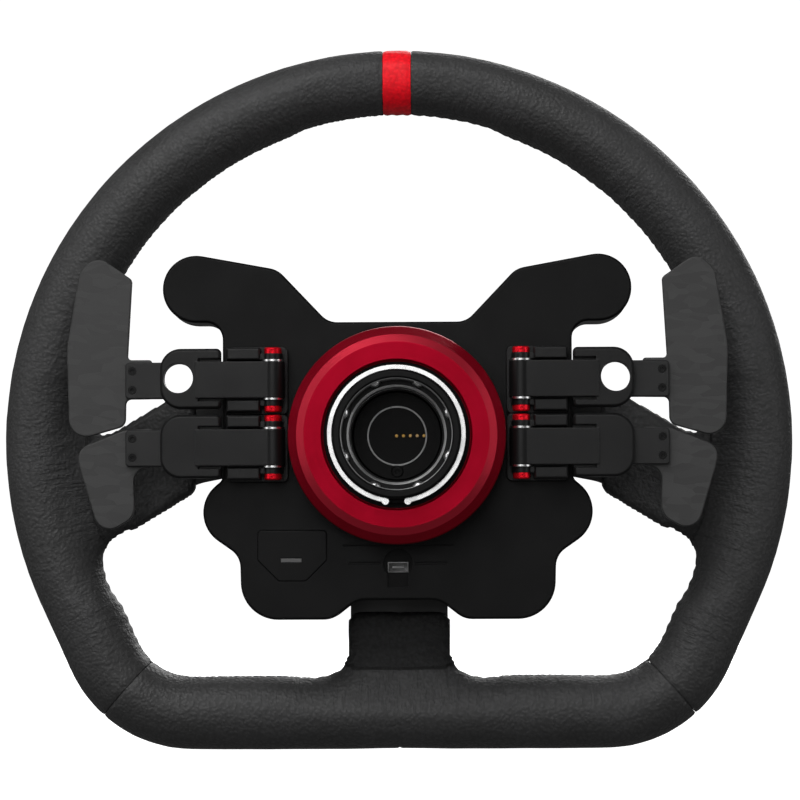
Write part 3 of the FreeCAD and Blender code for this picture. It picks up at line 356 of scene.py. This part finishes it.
def turned_red(name, deep, bright, rough, band=None, shade_below=None):
    """Red, deep to bright; painted sheen between two radii; painted shade inside a third."""
    finish = Finish(name)
    where = finish.place()
    away = from_axis(finish, where)
    depth = finish.node("SeparateXYZ", {}, {0: where}, "Y")
    marks = {"X": away * tool_marks_per_m, "Y": depth * tool_marks_per_m}
    across = finish.node("CombineXYZ", {}, marks)
    tool = finish.noise(across, 1.0, 2.0)
    cloud = finish.noise(where, 70.0)
    rounded = finish.soft_edge(0.0003)
    colour = finish.blend(finish.between(cloud, 0.3, 0.7), deep, bright)
    if band:
        # Painted sheen: a paler red ring on the conical chamfer, for the ring of light it reflects.
        colour = finish.blend(ring_mask(finish, away, *band), colour, sheen_band_red)
    # Painted shade: inside the collar's mouth the red is painted near black, for the deep groove's
    # shade.
    if shade_below:
        lit = finish.between(away, shade_below, shade_below + 0.0004)
        colour = finish.blend(lit, grey(0.004), colour)
    return finish.set({
        "Base Color": colour,
        "Roughness": finish.between(tool, 0.3, 0.7, rough, rough + 0.12),
        "Metallic": 0.72,
        "Specular IOR Level": 0.1,
        "Normal": finish.bump(tool, 0.00004, rounded),
    })


print("turned red ready")

# %% [markdown]
# Forged carbon. Short bundles of fibre are pressed in a mould, so the surface is a patchwork of
# flakes, each catching the light its own way. Voronoi cells stretched two ways give the flakes.

# %% Forged carbon
def forged_carbon(name):
    finish = Finish(name)
    where = finish.place()
    bent = finish.noise(where, 90.0, 2.0)
    shift = finish.node("CombineXYZ", {}, {"X": bent * 0.004, "Z": bent * -0.003})
    spread = finish.node("VectorMath", {"operation": "ADD"}, {0: where, 1: shift})
    rise = finish.stretch(spread, (150.0, 10.0, 420.0))
    lean = finish.node("VectorRotate", {"rotation_type": "Y_AXIS"}, {"Vector": rise, "Angle": 0.6})
    flakes = finish.cells(lean, 1.0, "F1", "Color")
    level = finish.node("SeparateColor", {}, {0: flakes}, "Red")
    fibre = finish.noise(finish.stretch(spread, (900.0, 100.0, 5000.0)), 1.0)
    pores = finish.noise(where, 3000.0)
    tone = finish.between(level + fibre * 0.3, 0.1, 1.2)
    return finish.set({
        "Base Color": finish.blend(tone, grey(0.020), grey(0.036)),
        "Roughness": finish.between(level, 0.0, 1.0, 0.48, 0.60),
        "Specular IOR Level": 0.4,
        "Normal": finish.bump(level * 0.5 + pores * 0.5, 0.00005, finish.soft_edge(0.0005)),
    })


print("forged carbon ready")

# %% [markdown]
# Moulded plastics. The mould is etched, so buttons and covers come out with an even fine grain.
# The foam and the thread use the same finish with a coarser or finer grain.

# %% Moulded plastics
def moulded(name, colour, rough, texture=0.00004, speck=2400.0):
    finish = Finish(name)
    where = finish.place()
    grain = finish.noise(where, speck, 2.0)
    cloud = finish.noise(where, 50.0)
    return finish.set({
        "Base Color": finish.blend(finish.between(cloud, 0.3, 0.7), colour, scaled(colour, 1.25)),
        "Roughness": finish.between(grain, 0.3, 0.7, rough - 0.04, rough + 0.06),
        "Normal": finish.bump(grain, texture, finish.soft_edge(0.0003)),
    })


print("moulded plastics ready")

# %% [markdown]
# Each finish is made once and given to every CAD node that has its slot in the record.

# %% Finishes for the CAD nodes
hub_rings = ((0.01745, 0.0183), (0.0202, 0.02045))
block_ring = (0.0105, 0.0111)
cap_red = ((0.62, 0.006, 0.016, 1), (0.75, 0.010, 0.022, 1))
collar_red = ((0.27, 0.0006, 0.011, 1), (0.31, 0.0010, 0.014, 1))
# Radii of the painted sheen band on the collar's chamfer.
collar_sheen_band = (0.0341, 0.0369)
# Radius inside which the collar's mouth is painted near black as shade.
mouth_shade_radius = 0.0268
finishes = {
    "core_steel": bare_metal("core_steel", grey(0.35), 0.45),
    "foam": moulded("foam", grey(0.05), 0.85, 0.0003, 900.0),
    "grip_leather": grip_leather,
    "stripe_leather": stripe_leather,
    "black_anodised": coated("black_anodised", 0.006, 0.42, edge_light=4.0, specular=0.30),
    "housing_black": coated(
        "housing_black", 0.0030, 0.46, edge=0.0005, edge_light=6.0, specular=0.12
    ),
    "light_lens": moulded("light_lens", grey(0.07), 0.5),
    "circuit_board": moulded("circuit_board", (0.01, 0.07, 0.03, 1), 0.4),
    "socket_steel": bare_metal("socket_steel", grey(0.07), 0.34),
    "black_screw": coated("black_screw", 0.002, 0.40, specular=0.15),
    "hub_black": cut_bright("hub_black", 0.0025, 0.34, 0.5, *hub_rings),
    "bright_steel": bare_metal("bright_steel", grey(0.64), 0.24),
    "insulator": cut_bright("insulator", 0.0015, 0.5, 0.22, block_ring),
    "gold_contact": bare_metal("gold_contact", (0.28, 0.16, 0.03, 1), 0.3),
    "spring_steel": bare_metal("spring_steel", grey(0.5), 0.3),
    "red_anodised_cap": turned_red("red_anodised_cap", *cap_red, 0.22),
    "red_anodised": turned_red(
        "red_anodised", *collar_red, 0.34, band=collar_sheen_band, shade_below=mouth_shade_radius
    ),
    "paddle_black": coated(
        "paddle_black", 0.0045, 0.36, edge=0.0006, edge_light=6.0, specular=0.20
    ),
    "extension_black": coated("extension_black", 0.007, 0.45, edge_light=4.0, specular=0.30),
    "forged_carbon": forged_carbon("forged_carbon"),
    "magnet_nickel": bare_metal("magnet_nickel", grey(0.6), 0.2),
    "component_black": moulded("component_black", grey(0.012), 0.5),
    "button_plastic": moulded("button_plastic", grey(0.018), 0.42),
    "knob_plastic": coated("knob_plastic", 0.02, 0.36),
    "cap_plastic": moulded("cap_plastic", grey(0.02), 0.4),
}


def slot_name(material):
    return material.name.split(".")[0]


for name, node in nodes.items():
    for holder in node.material_slots:
        if slot_name(holder.material) in finishes:
            holder.material = finishes[slot_name(holder.material)]
        else:
            print("no finish for", name, holder.material.name)
print(len(finishes), "finishes given")

# %% [markdown]
# The stage: a wide pale floor inside a pale round room, so every side has the same plain ground.
# Both glow evenly, so no horizon line crosses the view. They are seen by the camera but throw
# no light on the wheel, as a wheel that stands on a lit table would look washed out from below.

# %% Pale floor and room
def start_fresh():
    if bpy.context.object and bpy.context.object.mode != "OBJECT":
        bpy.ops.object.mode_set(mode="OBJECT")
    bpy.ops.object.select_all(action="DESELECT")


def only(piece):
    start_fresh()
    piece.select_set(True)
    bpy.context.view_layer.objects.active = piece


def bake_place(piece):
    only(piece)
    bpy.ops.object.transform_apply(location=True, rotation=True, scale=True)


def pick(piece, wanted):
    """Select the vertices whose place passes the test, in edit mode."""
    bpy.ops.object.mode_set(mode="EDIT")
    bpy.ops.mesh.select_mode(type="VERT")
    bpy.ops.mesh.select_all(action="DESELECT")
    bpy.ops.object.mode_set(mode="OBJECT")
    for vertex in piece.data.vertices:
        vertex.select = bool(wanted(vertex.co))
    bpy.ops.object.mode_set(mode="EDIT")


def apply_all(piece):
    only(piece)
    for modifier in list(piece.modifiers):
        bpy.ops.object.modifier_apply(modifier=modifier.name)


floor_drop = 0.0005
floor_radius = 7.0
room_radius = 9.0
floor_z = cad_box[0].z - floor_drop
start_fresh()
bpy.ops.mesh.primitive_circle_add(vertices=96, radius=floor_radius, fill_type="NGON")
ground = bpy.context.object
ground.location.z = floor_z
ground.name = "floor"
bpy.ops.object.mode_set(mode="EDIT")
bpy.ops.mesh.select_all(action="SELECT")
bpy.ops.mesh.inset(thickness=0.8, depth=0.0)
bpy.ops.object.mode_set(mode="OBJECT")
bake_place(ground)
bpy.ops.object.shade_smooth()
start_fresh()
bpy.ops.mesh.primitive_ico_sphere_add(subdivisions=4, radius=room_radius)
room = bpy.context.object
room.name = "room"
bpy.ops.object.shade_smooth()
for backdrop in (ground, room):
    backdrop.visible_diffuse = False
    backdrop.visible_glossy = False
room.visible_shadow = False
print("floor at", round(floor_z, 4), "m")

# %% Floor finish
stage_paint = Finish("stage_paint")
stage_cloud = stage_paint.noise(stage_paint.place(), 3.0)
stage_finish = stage_paint.set({
    "Base Color": stage_paint.blend(stage_cloud, grey(0.84), grey(0.86)),
    "Roughness": 0.9,
    "Emission Color": grey(1.0),
    "Emission Strength": 0.93,
})
for backdrop in (ground, room):
    backdrop.data.materials.append(stage_finish)
print("floor and room painted")

# %% [markdown]
# Soft studio light. A big lamp above gives the leather its top sheen, two tall lamps at the
# sides draw the edges of the black metal, one in front and a very weak one below it fill the
# shadows, and the strongest lights the driver's side. Powers are in watts.

# %% Lamps
def lamp(name, place, target, size, power):
    data = bpy.data.lights.new(name, "AREA")
    data.shape = "RECTANGLE"
    data.size, data.size_y = size
    data.energy = power
    holder = bpy.data.objects.new(name, data)
    bpy.context.scene.collection.objects.link(holder)
    holder.location = place
    holder.rotation_euler = (Vector(target) - Vector(place)).to_track_quat("-Z", "Y").to_euler()


lamp("lamp_top", (-0.35, -0.75, 1.10), (0, 0, 0.05), (1.1, 0.7), 13.0)
lamp("lamp_left", (-1.25, -0.55, 0.25), (0, 0, 0), (0.5, 1.4), 4.6)
lamp("lamp_right", (1.25, -0.55, 0.15), (0, 0, 0), (0.5, 1.4), 4.0)
lamp("lamp_front", (-0.25, -1.7, 0.55), (0, 0, 0.03), (0.9, 0.9), 8.0)
lamp("lamp_low", (0, -1.3, -0.09), (0, 0, -0.03), (1.2, 0.15), 1.0)
lamp("lamp_driver", (0.45, 1.5, 0.75), (0, 0, 0), (1.2, 1.0), 14.0)
world = bpy.data.worlds.new("studio")
world.use_nodes = True
sky = world.node_tree.nodes["Background"].inputs
sky["Color"].default_value = grey(1.0)
sky["Strength"].default_value = 0.16
bpy.context.scene.world = world
bpy.context.scene.view_settings.view_transform = "Standard"
print("six lamps and a dim room")

# %% [markdown]
# The ring's path: a big arc, a straight flank, a small corner arc and a flat bottom, the same
# on both sides. All later steps ask one question of it: how far along the ring is this point,
# and which way is inwards? A list of places on the path and a search tree answer it.

# %% The ring's path
core_low, core_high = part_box("rim_core")
core_thick = 0.005
ring_r = core_high.x - core_thick
rim_y = (core_low.y + core_high.y) / 2
bottom_z = core_low.z + core_thick
corner_r = 0.037
corner_x = 0.0785
corner_z = bottom_z + corner_r
flank_deg = (
    180
    + math.degrees(math.atan2(-corner_z, corner_x))
    - math.degrees(math.acos((ring_r - corner_r) / math.hypot(corner_x, corner_z)))
)


def on_circle(x, z, radius, deg):
    turn = math.radians(deg)
    return Vector((x + radius * math.cos(turn), rim_y, z + radius * math.sin(turn)))


def half_path(step=0.0008):
    """From the top, down the left side, to the middle of the flat bottom."""
    big_deg = flank_deg - 90
    arc = math.radians(big_deg) * ring_r
    count = int(arc / step)
    points = [on_circle(0, 0, ring_r, 90 + big_deg * i * step / arc) for i in range(count)]
    start = on_circle(0, 0, ring_r, flank_deg)
    end = on_circle(-corner_x, corner_z, corner_r, flank_deg)
    count = int((end - start).length / step)
    points += [start.lerp(end, i / count) for i in range(count)]
    small_deg = 270 - flank_deg
    arc = math.radians(small_deg) * corner_r
    count = int(arc / step)
    for i in range(count):
        deg = flank_deg + small_deg * i / count
        points.append(on_circle(-corner_x, corner_z, corner_r, deg))
    count = int(corner_x / step)
    points += [Vector((-corner_x * (1 - i / count), rim_y, bottom_z)) for i in range(count + 1)]
    return points


left_path = half_path()
right_path = [Vector((-p.x, p.y, p.z)) for p in left_path]
lengths = [0.0]
for a, b in zip(left_path, left_path[1:]):
    lengths.append(lengths[-1] + (b - a).length)
half_length = lengths[-1]
path = left_path + right_path
along = lengths + lengths
tree = kdtree.KDTree(len(path))
for i, point in enumerate(path):
    tree.insert(point, i)
tree.balance()


def inward(i):
    """The unit vector in the ring's plane that points from the path to the ring's inside."""
    half = len(left_path)
    line = path[:half] if i < half else path[half:]
    k = i % half
    ahead = (line[min(k + 1, half - 1)] - line[max(k - 1, 0)]).normalized()
    side = Vector((-ahead.z, 0, ahead.x))
    return side if i < half else -side


print("half the ring is", round(half_length * 1000), "mm long")
print("the flank starts at", round(flank_deg, 1), "deg")

# %% [markdown]
# The skin's blank. A real grip is a steel ring in moulded foam with leather stretched over it.
# Here an oval is spun and extruded along the path, blocks stand for the three spokes, and a
# voxel remesh makes them one skin, as the foam is one moulding. Smoothing the corners where
# spokes meet ring gives the fillets, and one subdivision makes it fine enough to crease.

# %% Ring blank, spun and extruded
grip_low, grip_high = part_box("leather_left")
half_radial = 0.0140
half_axial = (grip_high.y - grip_low.y) / 2
start_fresh()
bpy.ops.mesh.primitive_circle_add(vertices=44, radius=1.0, location=(ring_r, rim_y, 0))
blank = bpy.context.object
blank.name = "blank"
blank.scale = (half_radial, half_axial, 1)
bake_place(blank)
bpy.ops.object.mode_set(mode="EDIT")
bpy.ops.mesh.select_all(action="SELECT")


def spin_on(degrees, x, z, steps):
    centre = (x, rim_y, z)
    bpy.ops.mesh.spin(steps=steps, angle=math.radians(degrees), center=centre, axis=(0, 1, 0))


def run_on(move):
    bpy.ops.mesh.extrude_region_move(TRANSFORM_OT_translate={"value": move})


flank_end = on_circle(-corner_x, corner_z, corner_r, flank_deg)
flank = flank_end - on_circle(0, 0, ring_r, flank_deg)
spin_on(flank_deg, 0, 0, 170)
run_on(flank)
spin_on(270 - flank_deg, -corner_x, corner_z, 24)
run_on((2 * corner_x, 0, 0))
spin_on(270 - flank_deg, corner_x, corner_z, 24)
run_on((flank.x, 0, -flank.z))
spin_on(flank_deg - 180, 0, 0, 20)
bpy.ops.mesh.select_all(action="SELECT")
bpy.ops.mesh.remove_doubles(threshold=0.00002)
bpy.ops.mesh.normals_make_consistent(inside=False)
bpy.ops.object.mode_set(mode="OBJECT")
print("ring blank", len(blank.data.vertices), "vertices", [round(v, 4) for v in blank.dimensions])

# %% Spoke blanks
wrap_x = 0.077
wrap_low, wrap_high = -0.0198, 0.0220
wrap_half_y = 0.0060
fall = 0.60
spoke_top = 0.0192
gusset_x = -0.110
gusset_rise = 0.020
low_half_x = 0.0196
low_wrap_top = -0.0658
low_flare = 1.08
near = 0.001


def block(name, x0, x1, z0, z1):
    start_fresh()
    bpy.ops.mesh.primitive_cube_add(size=1.0, location=((x0 + x1) / 2, rim_y, (z0 + z1) / 2))
    made = bpy.context.object
    made.name = name
    made.scale = (x1 - x0, 2 * wrap_half_y, z1 - z0)
    bake_place(made)
    return made


side_block = block("side_block", -ring_r, -wrap_x, wrap_low, wrap_high)
pick(side_block, lambda co: co.x < -ring_r + near)
bpy.ops.transform.translate(value=(0, 0, -fall * (ring_r - wrap_x)))
bpy.ops.mesh.select_all(action="SELECT")
bpy.ops.mesh.bisect(plane_co=(gusset_x, 0, 0), plane_no=(1, 0, 0))
pick(side_block, lambda co: co.x < -ring_r + near and co.z > -0.030)
bpy.ops.transform.translate(value=(0, 0, gusset_rise))
bpy.ops.mesh.select_all(action="SELECT")
level = {"plane_co": (0, 0, spoke_top), "plane_no": (0, 0, 1)}
bpy.ops.mesh.bisect(**level, clear_outer=True, use_fill=True)
bpy.ops.object.mode_set(mode="OBJECT")
other_side = side_block.modifiers.new("other_side", "MIRROR")
other_side.use_axis = (True, False, False)
apply_all(side_block)
low_block = block("low_block", -low_half_x, low_half_x, bottom_z, low_wrap_top)
pick(low_block, lambda co: co.z < bottom_z + near)
bpy.ops.transform.resize(value=(low_flare, 1, 1), center_override=(0, rim_y, 0))
bpy.ops.object.mode_set(mode="OBJECT")
print("side and bottom spokes blocked out")

# %% One skin
start_fresh()
for made in (side_block, low_block, blank):
    made.select_set(True)
bpy.context.view_layer.objects.active = blank
bpy.ops.object.join()
skin = bpy.context.object
skin.name = "skin"
wrap = skin.modifiers.new("wrap", "REMESH")
wrap.mode = "VOXEL"
wrap.voxel_size = 0.0022
apply_all(skin)
print("skin", len(skin.data.polygons), "faces")

# %% Fillets where the spokes meet the ring
spoke_only = 0.0175
fillet_near, fillet_far = 0.0085, 0.030


def near_joint(co):
    """Is this point in the corner between a spoke and the ring?"""
    distance = tree.find(co)[2]
    side = abs(co.x) > 0.095 and -0.062 < co.z < 0.022
    low = abs(co.x) < 0.040 and co.z > bottom_z + 0.002
    inside = math.hypot(co.x, co.z) < ring_r + 0.004
    return (side or low) and fillet_near < distance < fillet_far and inside


def smooth(times):
    bpy.ops.mesh.vertices_smooth(factor=0.5, repeat=times)


pick(skin, lambda co: tree.find(co)[2] > spoke_only)
smooth(7)
bpy.ops.object.mode_set(mode="OBJECT")
pick(skin, near_joint)
smooth(60)
bpy.ops.mesh.select_all(action="SELECT")
smooth(2)
bpy.ops.object.mode_set(mode="OBJECT")
finer = skin.modifiers.new("finer", "SUBSURF")
finer.levels = finer.render_levels = 1
apply_all(skin)
print("skin", len(skin.data.polygons), "faces")

# %% [markdown]
# The grip isn't equally thick all round: slimmer at the top and the bottom, fuller at the hips
# and lower corners. The leather also puckers at its lacing, sinks at each seam, and creases
# where it is pulled round a spoke. These are small moves of the skin's own vertices, each along
# the line from the path to the vertex, so the skin never folds over.

# %% Shape the grip
seam_deg = 228.0
stripe_half = 0.0053
seam_low_z = -0.0868
cuff_z = -0.0738
stitch_gap = 0.0046
seam_width, seam_depth = 0.0009, 0.00045
side_spoke_s, side_spoke_reach = 0.265, 0.055
low_spoke_reach = 0.032
lump_size, lump_height = 0.016, 0.00009
crease_size, crease_height = 0.0062, 0.00004
lace_width, lace_height = 0.0034, 0.00022
cuff_lift = 0.0005
section_r = 0.014


def smooth_step(value, low, high):
    t = np.clip((value - low) / (high - low), 0.0, 1.0)
    return t * t * (3 - 2 * t)


def thickness_at(s):
    """How thick the grip is across the ring, as a share of its full size, s metres from the top."""
    places = [0.0, 0.06, 0.16, 0.26, 0.335, 0.36, 0.40, 0.44, half_length]
    shares = [0.925, 0.93, 0.985, 1.0, 0.985, 1.0, 1.0, 0.955, 0.95]
    return np.interp(s, places, shares)


def seam_distance(co):
    """Metres to the nearest seam: the stripe's edges, the lower corners and the bottom spoke."""
    turn = math.radians(seam_deg)
    side = Vector((-abs(co.x), 0, co.z)) - Vector((-corner_x, 0, corner_z))
    corner = abs(side.x * math.sin(turn) - side.z * math.cos(turn))
    if side.x > 0.01 or side.z > 0.005:
        corner = 1.0
    stripe = abs(abs(co.x) - stripe_half) if co.z > 0.05 else 1.0
    low = abs(co.z - seam_low_z) if abs(co.x) < 0.034 else 1.0
    cuff = abs(co.z - cuff_z) if abs(co.x) < 0.030 else 1.0
    middle = abs(co.x) if seam_low_z < co.z < -0.06 else 1.0
    return min(corner, stripe, low, cuff, middle)


# Three turns are drawn for each wave; the first one is used.
rng = np.random.default_rng(7)
bump_turns = rng.uniform(0, 2 * math.pi, (24, 3))
bump_ways = rng.normal(0, 1, (24, 3))
bump_ways /= np.linalg.norm(bump_ways, axis=1)[:, None]


def soft_noise(place, size):
    """A few seeded waves added up: slow lumps of about the given size in metres."""
    phase = (np.asarray(place) @ bump_ways.T) * (2 * math.pi / size) + bump_turns[:, 0]
    return float(np.sin(phase).sum() / 5.0)


flow = np.zeros((len(skin.data.vertices), 3))
for vertex in skin.data.vertices:
    co = vertex.co.copy()
    found, i, distance = tree.find(co)
    s = along[i]
    side = inward(i)
    off = co - found
    in_way = off.dot(side)
    up = off.y
    angle = math.atan2(up, -in_way)
    on_ring = 1.0 - smooth_step(distance, 0.0165, 0.021)
    share = 1.0 + (float(thickness_at(s)) - 1.0) * on_ring
    worked = 0.25 + 0.35 * float(smooth_step(in_way, -0.002, 0.012))
    joint_side = math.exp(-((s - side_spoke_s) / side_spoke_reach) ** 2)
    joint_low = math.exp(-((half_length - s) / low_spoke_reach) ** 2)
    worked += 0.75 * max(joint_side, joint_low) * float(smooth_step(in_way, -0.010, 0.006))
    worked = min(worked, 1.0)
    lift = lump_height * soft_noise(co, lump_size) * worked
    lift += crease_height * soft_noise(co, crease_size) * worked
    pucker = math.exp(-(up / lace_width) ** 2) * float(smooth_step(in_way, 0.006, 0.011)) * on_ring
    lift += pucker * (lace_height * math.cos(2 * math.pi * s / stitch_gap) + 0.0001)
    gap = seam_distance(co)
    lift -= seam_depth * math.exp(-(gap / seam_width) ** 2)
    moved = found + side * (in_way * share) + Vector((0, up, 0))
    if abs(co.x) < 0.030 and cuff_z < co.z < -0.06:
        lift += cuff_lift
    if distance > 0.004:
        moved += off.normalized() * lift
    vertex.co = moved
    if distance > 0.0185:
        flow[vertex.index] = (co.x * 0.75, co.z * 3.2 + up, worked)
    else:
        flow[vertex.index] = (s, angle * section_r, worked)
where_on_ring = skin.data.attributes.new("flow", "FLOAT_VECTOR", "POINT")
where_on_ring.data.foreach_set("vector", flow.astype(np.float32).ravel())
skin.data.update()
print("grip shaped; box", [round(v, 4) for v in skin.dimensions])

# %% [markdown]
# The tailor cuts the leather in panels: left and right, the bottom run, a red band at the top
# and a small sleeve on the bottom spoke. Each is a copy of the skin, cut by planes with bisect
# and given a wall with Solidify, so every panel is a real piece of leather with a thickness.
# The planes stand a little apart, which leaves the thin dark line of a real seam.

# %% How a panel is cut and dressed
leather_thick = 0.0014


def cut_copy(name, cuts):
    """A copy of the skin, cut by (place, normal) planes; the side a normal points to is dropped."""
    made = skin.copy()
    made.data = skin.data.copy()
    made.name = name
    bpy.context.scene.collection.objects.link(made)
    only(made)
    bpy.ops.object.mode_set(mode="EDIT")
    for place, normal in cuts:
        bpy.ops.mesh.select_all(action="SELECT")
        bpy.ops.mesh.bisect(plane_co=place, plane_no=normal, clear_outer=True, use_fill=False)
    bpy.ops.object.mode_set(mode="OBJECT")
    return made


def dress(piece, material, body, replaced, wall=leather_thick):
    """Give a piece its wall, finish, slot and body, and hide the CAD nodes it stands for."""
    if wall:
        thick = piece.modifiers.new("wall", "SOLIDIFY")
        thick.thickness = wall
        thick.offset = -1.0
        apply_all(piece)
    only(piece)
    bpy.ops.object.shade_smooth_by_angle(angle=math.radians(50))
    piece.data.materials.clear()
    piece.data.materials.append(material)
    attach(piece, body)
    if replaced:
        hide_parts(*replaced)
    print(piece.name, len(piece.data.polygons), "faces")


print("panel helpers ready")

# %% [markdown]
# The foam. It is moulded round the steel ring before the leather goes on, so it has the skin's
# shape, a little smaller. Nobody sees it, so most of its fine mesh is taken away again.

# %% Foam under the leather
foam_inset = 0.0016
foam = skin.copy()
foam.data = skin.data.copy()
foam.name = "foam_body"
bpy.context.scene.collection.objects.link(foam)
thin = foam.modifiers.new("thin", "DECIMATE")
thin.decimate_type = "UNSUBDIV"
thin.iterations = 2
apply_all(foam)
bpy.ops.object.mode_set(mode="EDIT")
bpy.ops.mesh.select_all(action="SELECT")
bpy.ops.transform.shrink_fatten(value=-foam_inset)
bpy.ops.object.mode_set(mode="OBJECT")
dress(foam, finishes["foam"], "root", ["rim_foam"], wall=0)

# %% Cut the panels
turn = math.radians(seam_deg)
seam_gap = 0.00018
low_half, low_reach = 0.040, -0.096
sleeve_half, sleeve_top = 0.034, -0.05
left_seam = Vector((-corner_x, rim_y, corner_z))
below_left = Vector((-math.sin(turn), 0, math.cos(turn)))
right_seam = Vector((corner_x, rim_y, corner_z))
below_right = Vector((-below_left.x, 0, below_left.z))
x_way = Vector((1, 0, 0))
edge_left = Vector((-stripe_half, rim_y, 0))
edge_right = Vector((stripe_half, rim_y, 0))
low_seam = Vector((0, rim_y, seam_low_z))
z_way = Vector((0, 0, 1))

left_cuts = [
    (edge_left - x_way * seam_gap, x_way),
    (left_seam - below_left * seam_gap, below_left),
]
right_cuts = [
    (edge_right + x_way * seam_gap, -x_way),
    (right_seam - below_right * seam_gap, below_right),
]
bottom_cuts = [
    (left_seam + below_left * seam_gap, -below_left),
    (right_seam + below_right * seam_gap, -below_right),
]
band_cuts = [(edge_left, -x_way), (edge_right, x_way), (Vector((0, 0, 0.05)), -z_way)]
sleeve_cuts = [
    (low_seam, -z_way),
    (Vector((sleeve_half, 0, 0)), x_way),
    (Vector((-sleeve_half, 0, 0)), -x_way),
    (Vector((0, 0, sleeve_top)), z_way),
]
left = cut_copy("grip_left", left_cuts)
right = cut_copy("grip_right", right_cuts)
bottom = cut_copy("grip_bottom", bottom_cuts)
band = cut_copy("red_band", band_cuts)
pick(bottom, lambda co: abs(co.x) < low_half and co.z > low_reach)
bpy.ops.mesh.bisect(plane_co=low_seam, plane_no=z_way, clear_outer=True, use_fill=False)
bpy.ops.object.mode_set(mode="OBJECT")
sleeve = cut_copy("sleeve_bottom", sleeve_cuts)
dress(left, grip_leather, "root", ["leather_left"])
dress(right, grip_leather, "root", ["leather_right"])
dress(bottom, grip_leather, "root", ["leather_bottom"])
dress(sleeve, grip_leather, "root", [])
dress(band, stripe_leather, "root", ["centre_stripe"])
corners = [v.co for v in skin.data.vertices]
outside = BVHTree.FromPolygons(corners, [p.vertices for p in skin.data.polygons])
bpy.data.objects.remove(skin)
print("six soft pieces: stretched tight, so full of their own shape")

# %% [markdown]
# Lacing. The two edges of the leather meet on the inside of the ring and are drawn together by
# a waxed black thread, one slanted stitch every few millimetres. One stitch is modelled: a short
# thread with its ends tucked in. The rest are copies laid along the path, each set on the skin
# where a ray from the path to the ring's inside meets it.

# %% One stitch
stitch_half = (0.00055, 0.00060, 0.0030)
stitch_sunk = 0.00025
thread_finish = moulded("thread", grey(0.012), 0.5, 0.00005, 6000.0)


def one_stitch():
    start_fresh()
    bpy.ops.mesh.primitive_uv_sphere_add(segments=8, ring_count=6, radius=1.0)
    made = bpy.context.object
    made.name = "stitch"
    made.scale = stitch_half
    bake_place(made)
    pick(made, lambda co: abs(co.z) > 0.0022)
    bpy.ops.transform.translate(value=(-0.00075, 0, 0))
    bpy.ops.object.mode_set(mode="OBJECT")
    only(made)
    bpy.ops.object.shade_smooth()
    return made


stitch = one_stitch()
print("stitch", len(stitch.data.polygons), "faces")


# %% Lace the inside of the ring
def lace(name, start, end):
    """Stitches from start to end metres along the left half, and the same on the right."""
    copies = []
    count = int((end - start) / stitch_gap)
    for k in range(count):
        s = (math.floor(start / stitch_gap) + k + 0.5) * stitch_gap
        i = int(np.searchsorted(lengths, s))
        for index in (i, i + len(left_path)):
            side = inward(index)
            surface = outside.ray_cast(path[index], side)[0]
            place = surface - side * stitch_sunk
            ahead = side.cross(Vector((0, 1, 0)))
            lean = (Vector((0, 1, 0)) * 0.80 + ahead * 0.60).normalized()
            frame_now = Matrix((side, lean.cross(side), lean)).transposed().to_4x4()
            frame_now.translation = place
            copy = stitch.copy()
            copy.data = stitch.data.copy()
            copy.data.transform(frame_now)
            bpy.context.scene.collection.objects.link(copy)
            copies.append(copy)
    start_fresh()
    for copy in copies:
        copy.select_set(True)
    bpy.context.view_layer.objects.active = copies[0]
    bpy.ops.object.join()
    made = bpy.context.object
    made.name = name
    dress(made, thread_finish.copy(), "root", [], wall=0)


lace("lacing_upper", 0.008, 0.236)
lace("lacing_lower", 0.300, half_length - 0.030)
bpy.data.objects.remove(stitch)

# %% [markdown]
# The return spring. When the collar slides towards the driver, the coil gets shorter and its far
# end stays on the hub. A CAD node can't change shape, so a copy of the coil stands for it. Here
# the copy is only made, and the share of its length that stays after the collar's travel is
# worked out; the copy is not flattened.

# %% Return spring copy
joints = frame["record"]["behaviour"]["joints"]
slide = next(j for j in joints if j["name"] == "collar_slide")
fixed_y = slide["deforming_nodes"][0]["fixed_end_y_m"]
travel = slide["range_m"][1]
coil = nodes["collar_spring"].copy()
coil.data = nodes["collar_spring"].data.copy()
coil.name = "return_coil"
bpy.context.scene.collection.objects.link(coil)
only(coil)
bpy.ops.object.mode_set(mode="EDIT")
bpy.ops.mesh.select_all(action="SELECT")
bpy.ops.mesh.remove_doubles(threshold=0.00001)
bpy.ops.object.mode_set(mode="OBJECT")
coil_length = fixed_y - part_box("collar_spring")[0].y
dress(coil, finishes["spring_steel"], "root", ["collar_spring"], wall=0)
kept = 1 - travel / coil_length
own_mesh(coil)
print("coil", round(coil_length * 1000, 1), "mm long at rest")
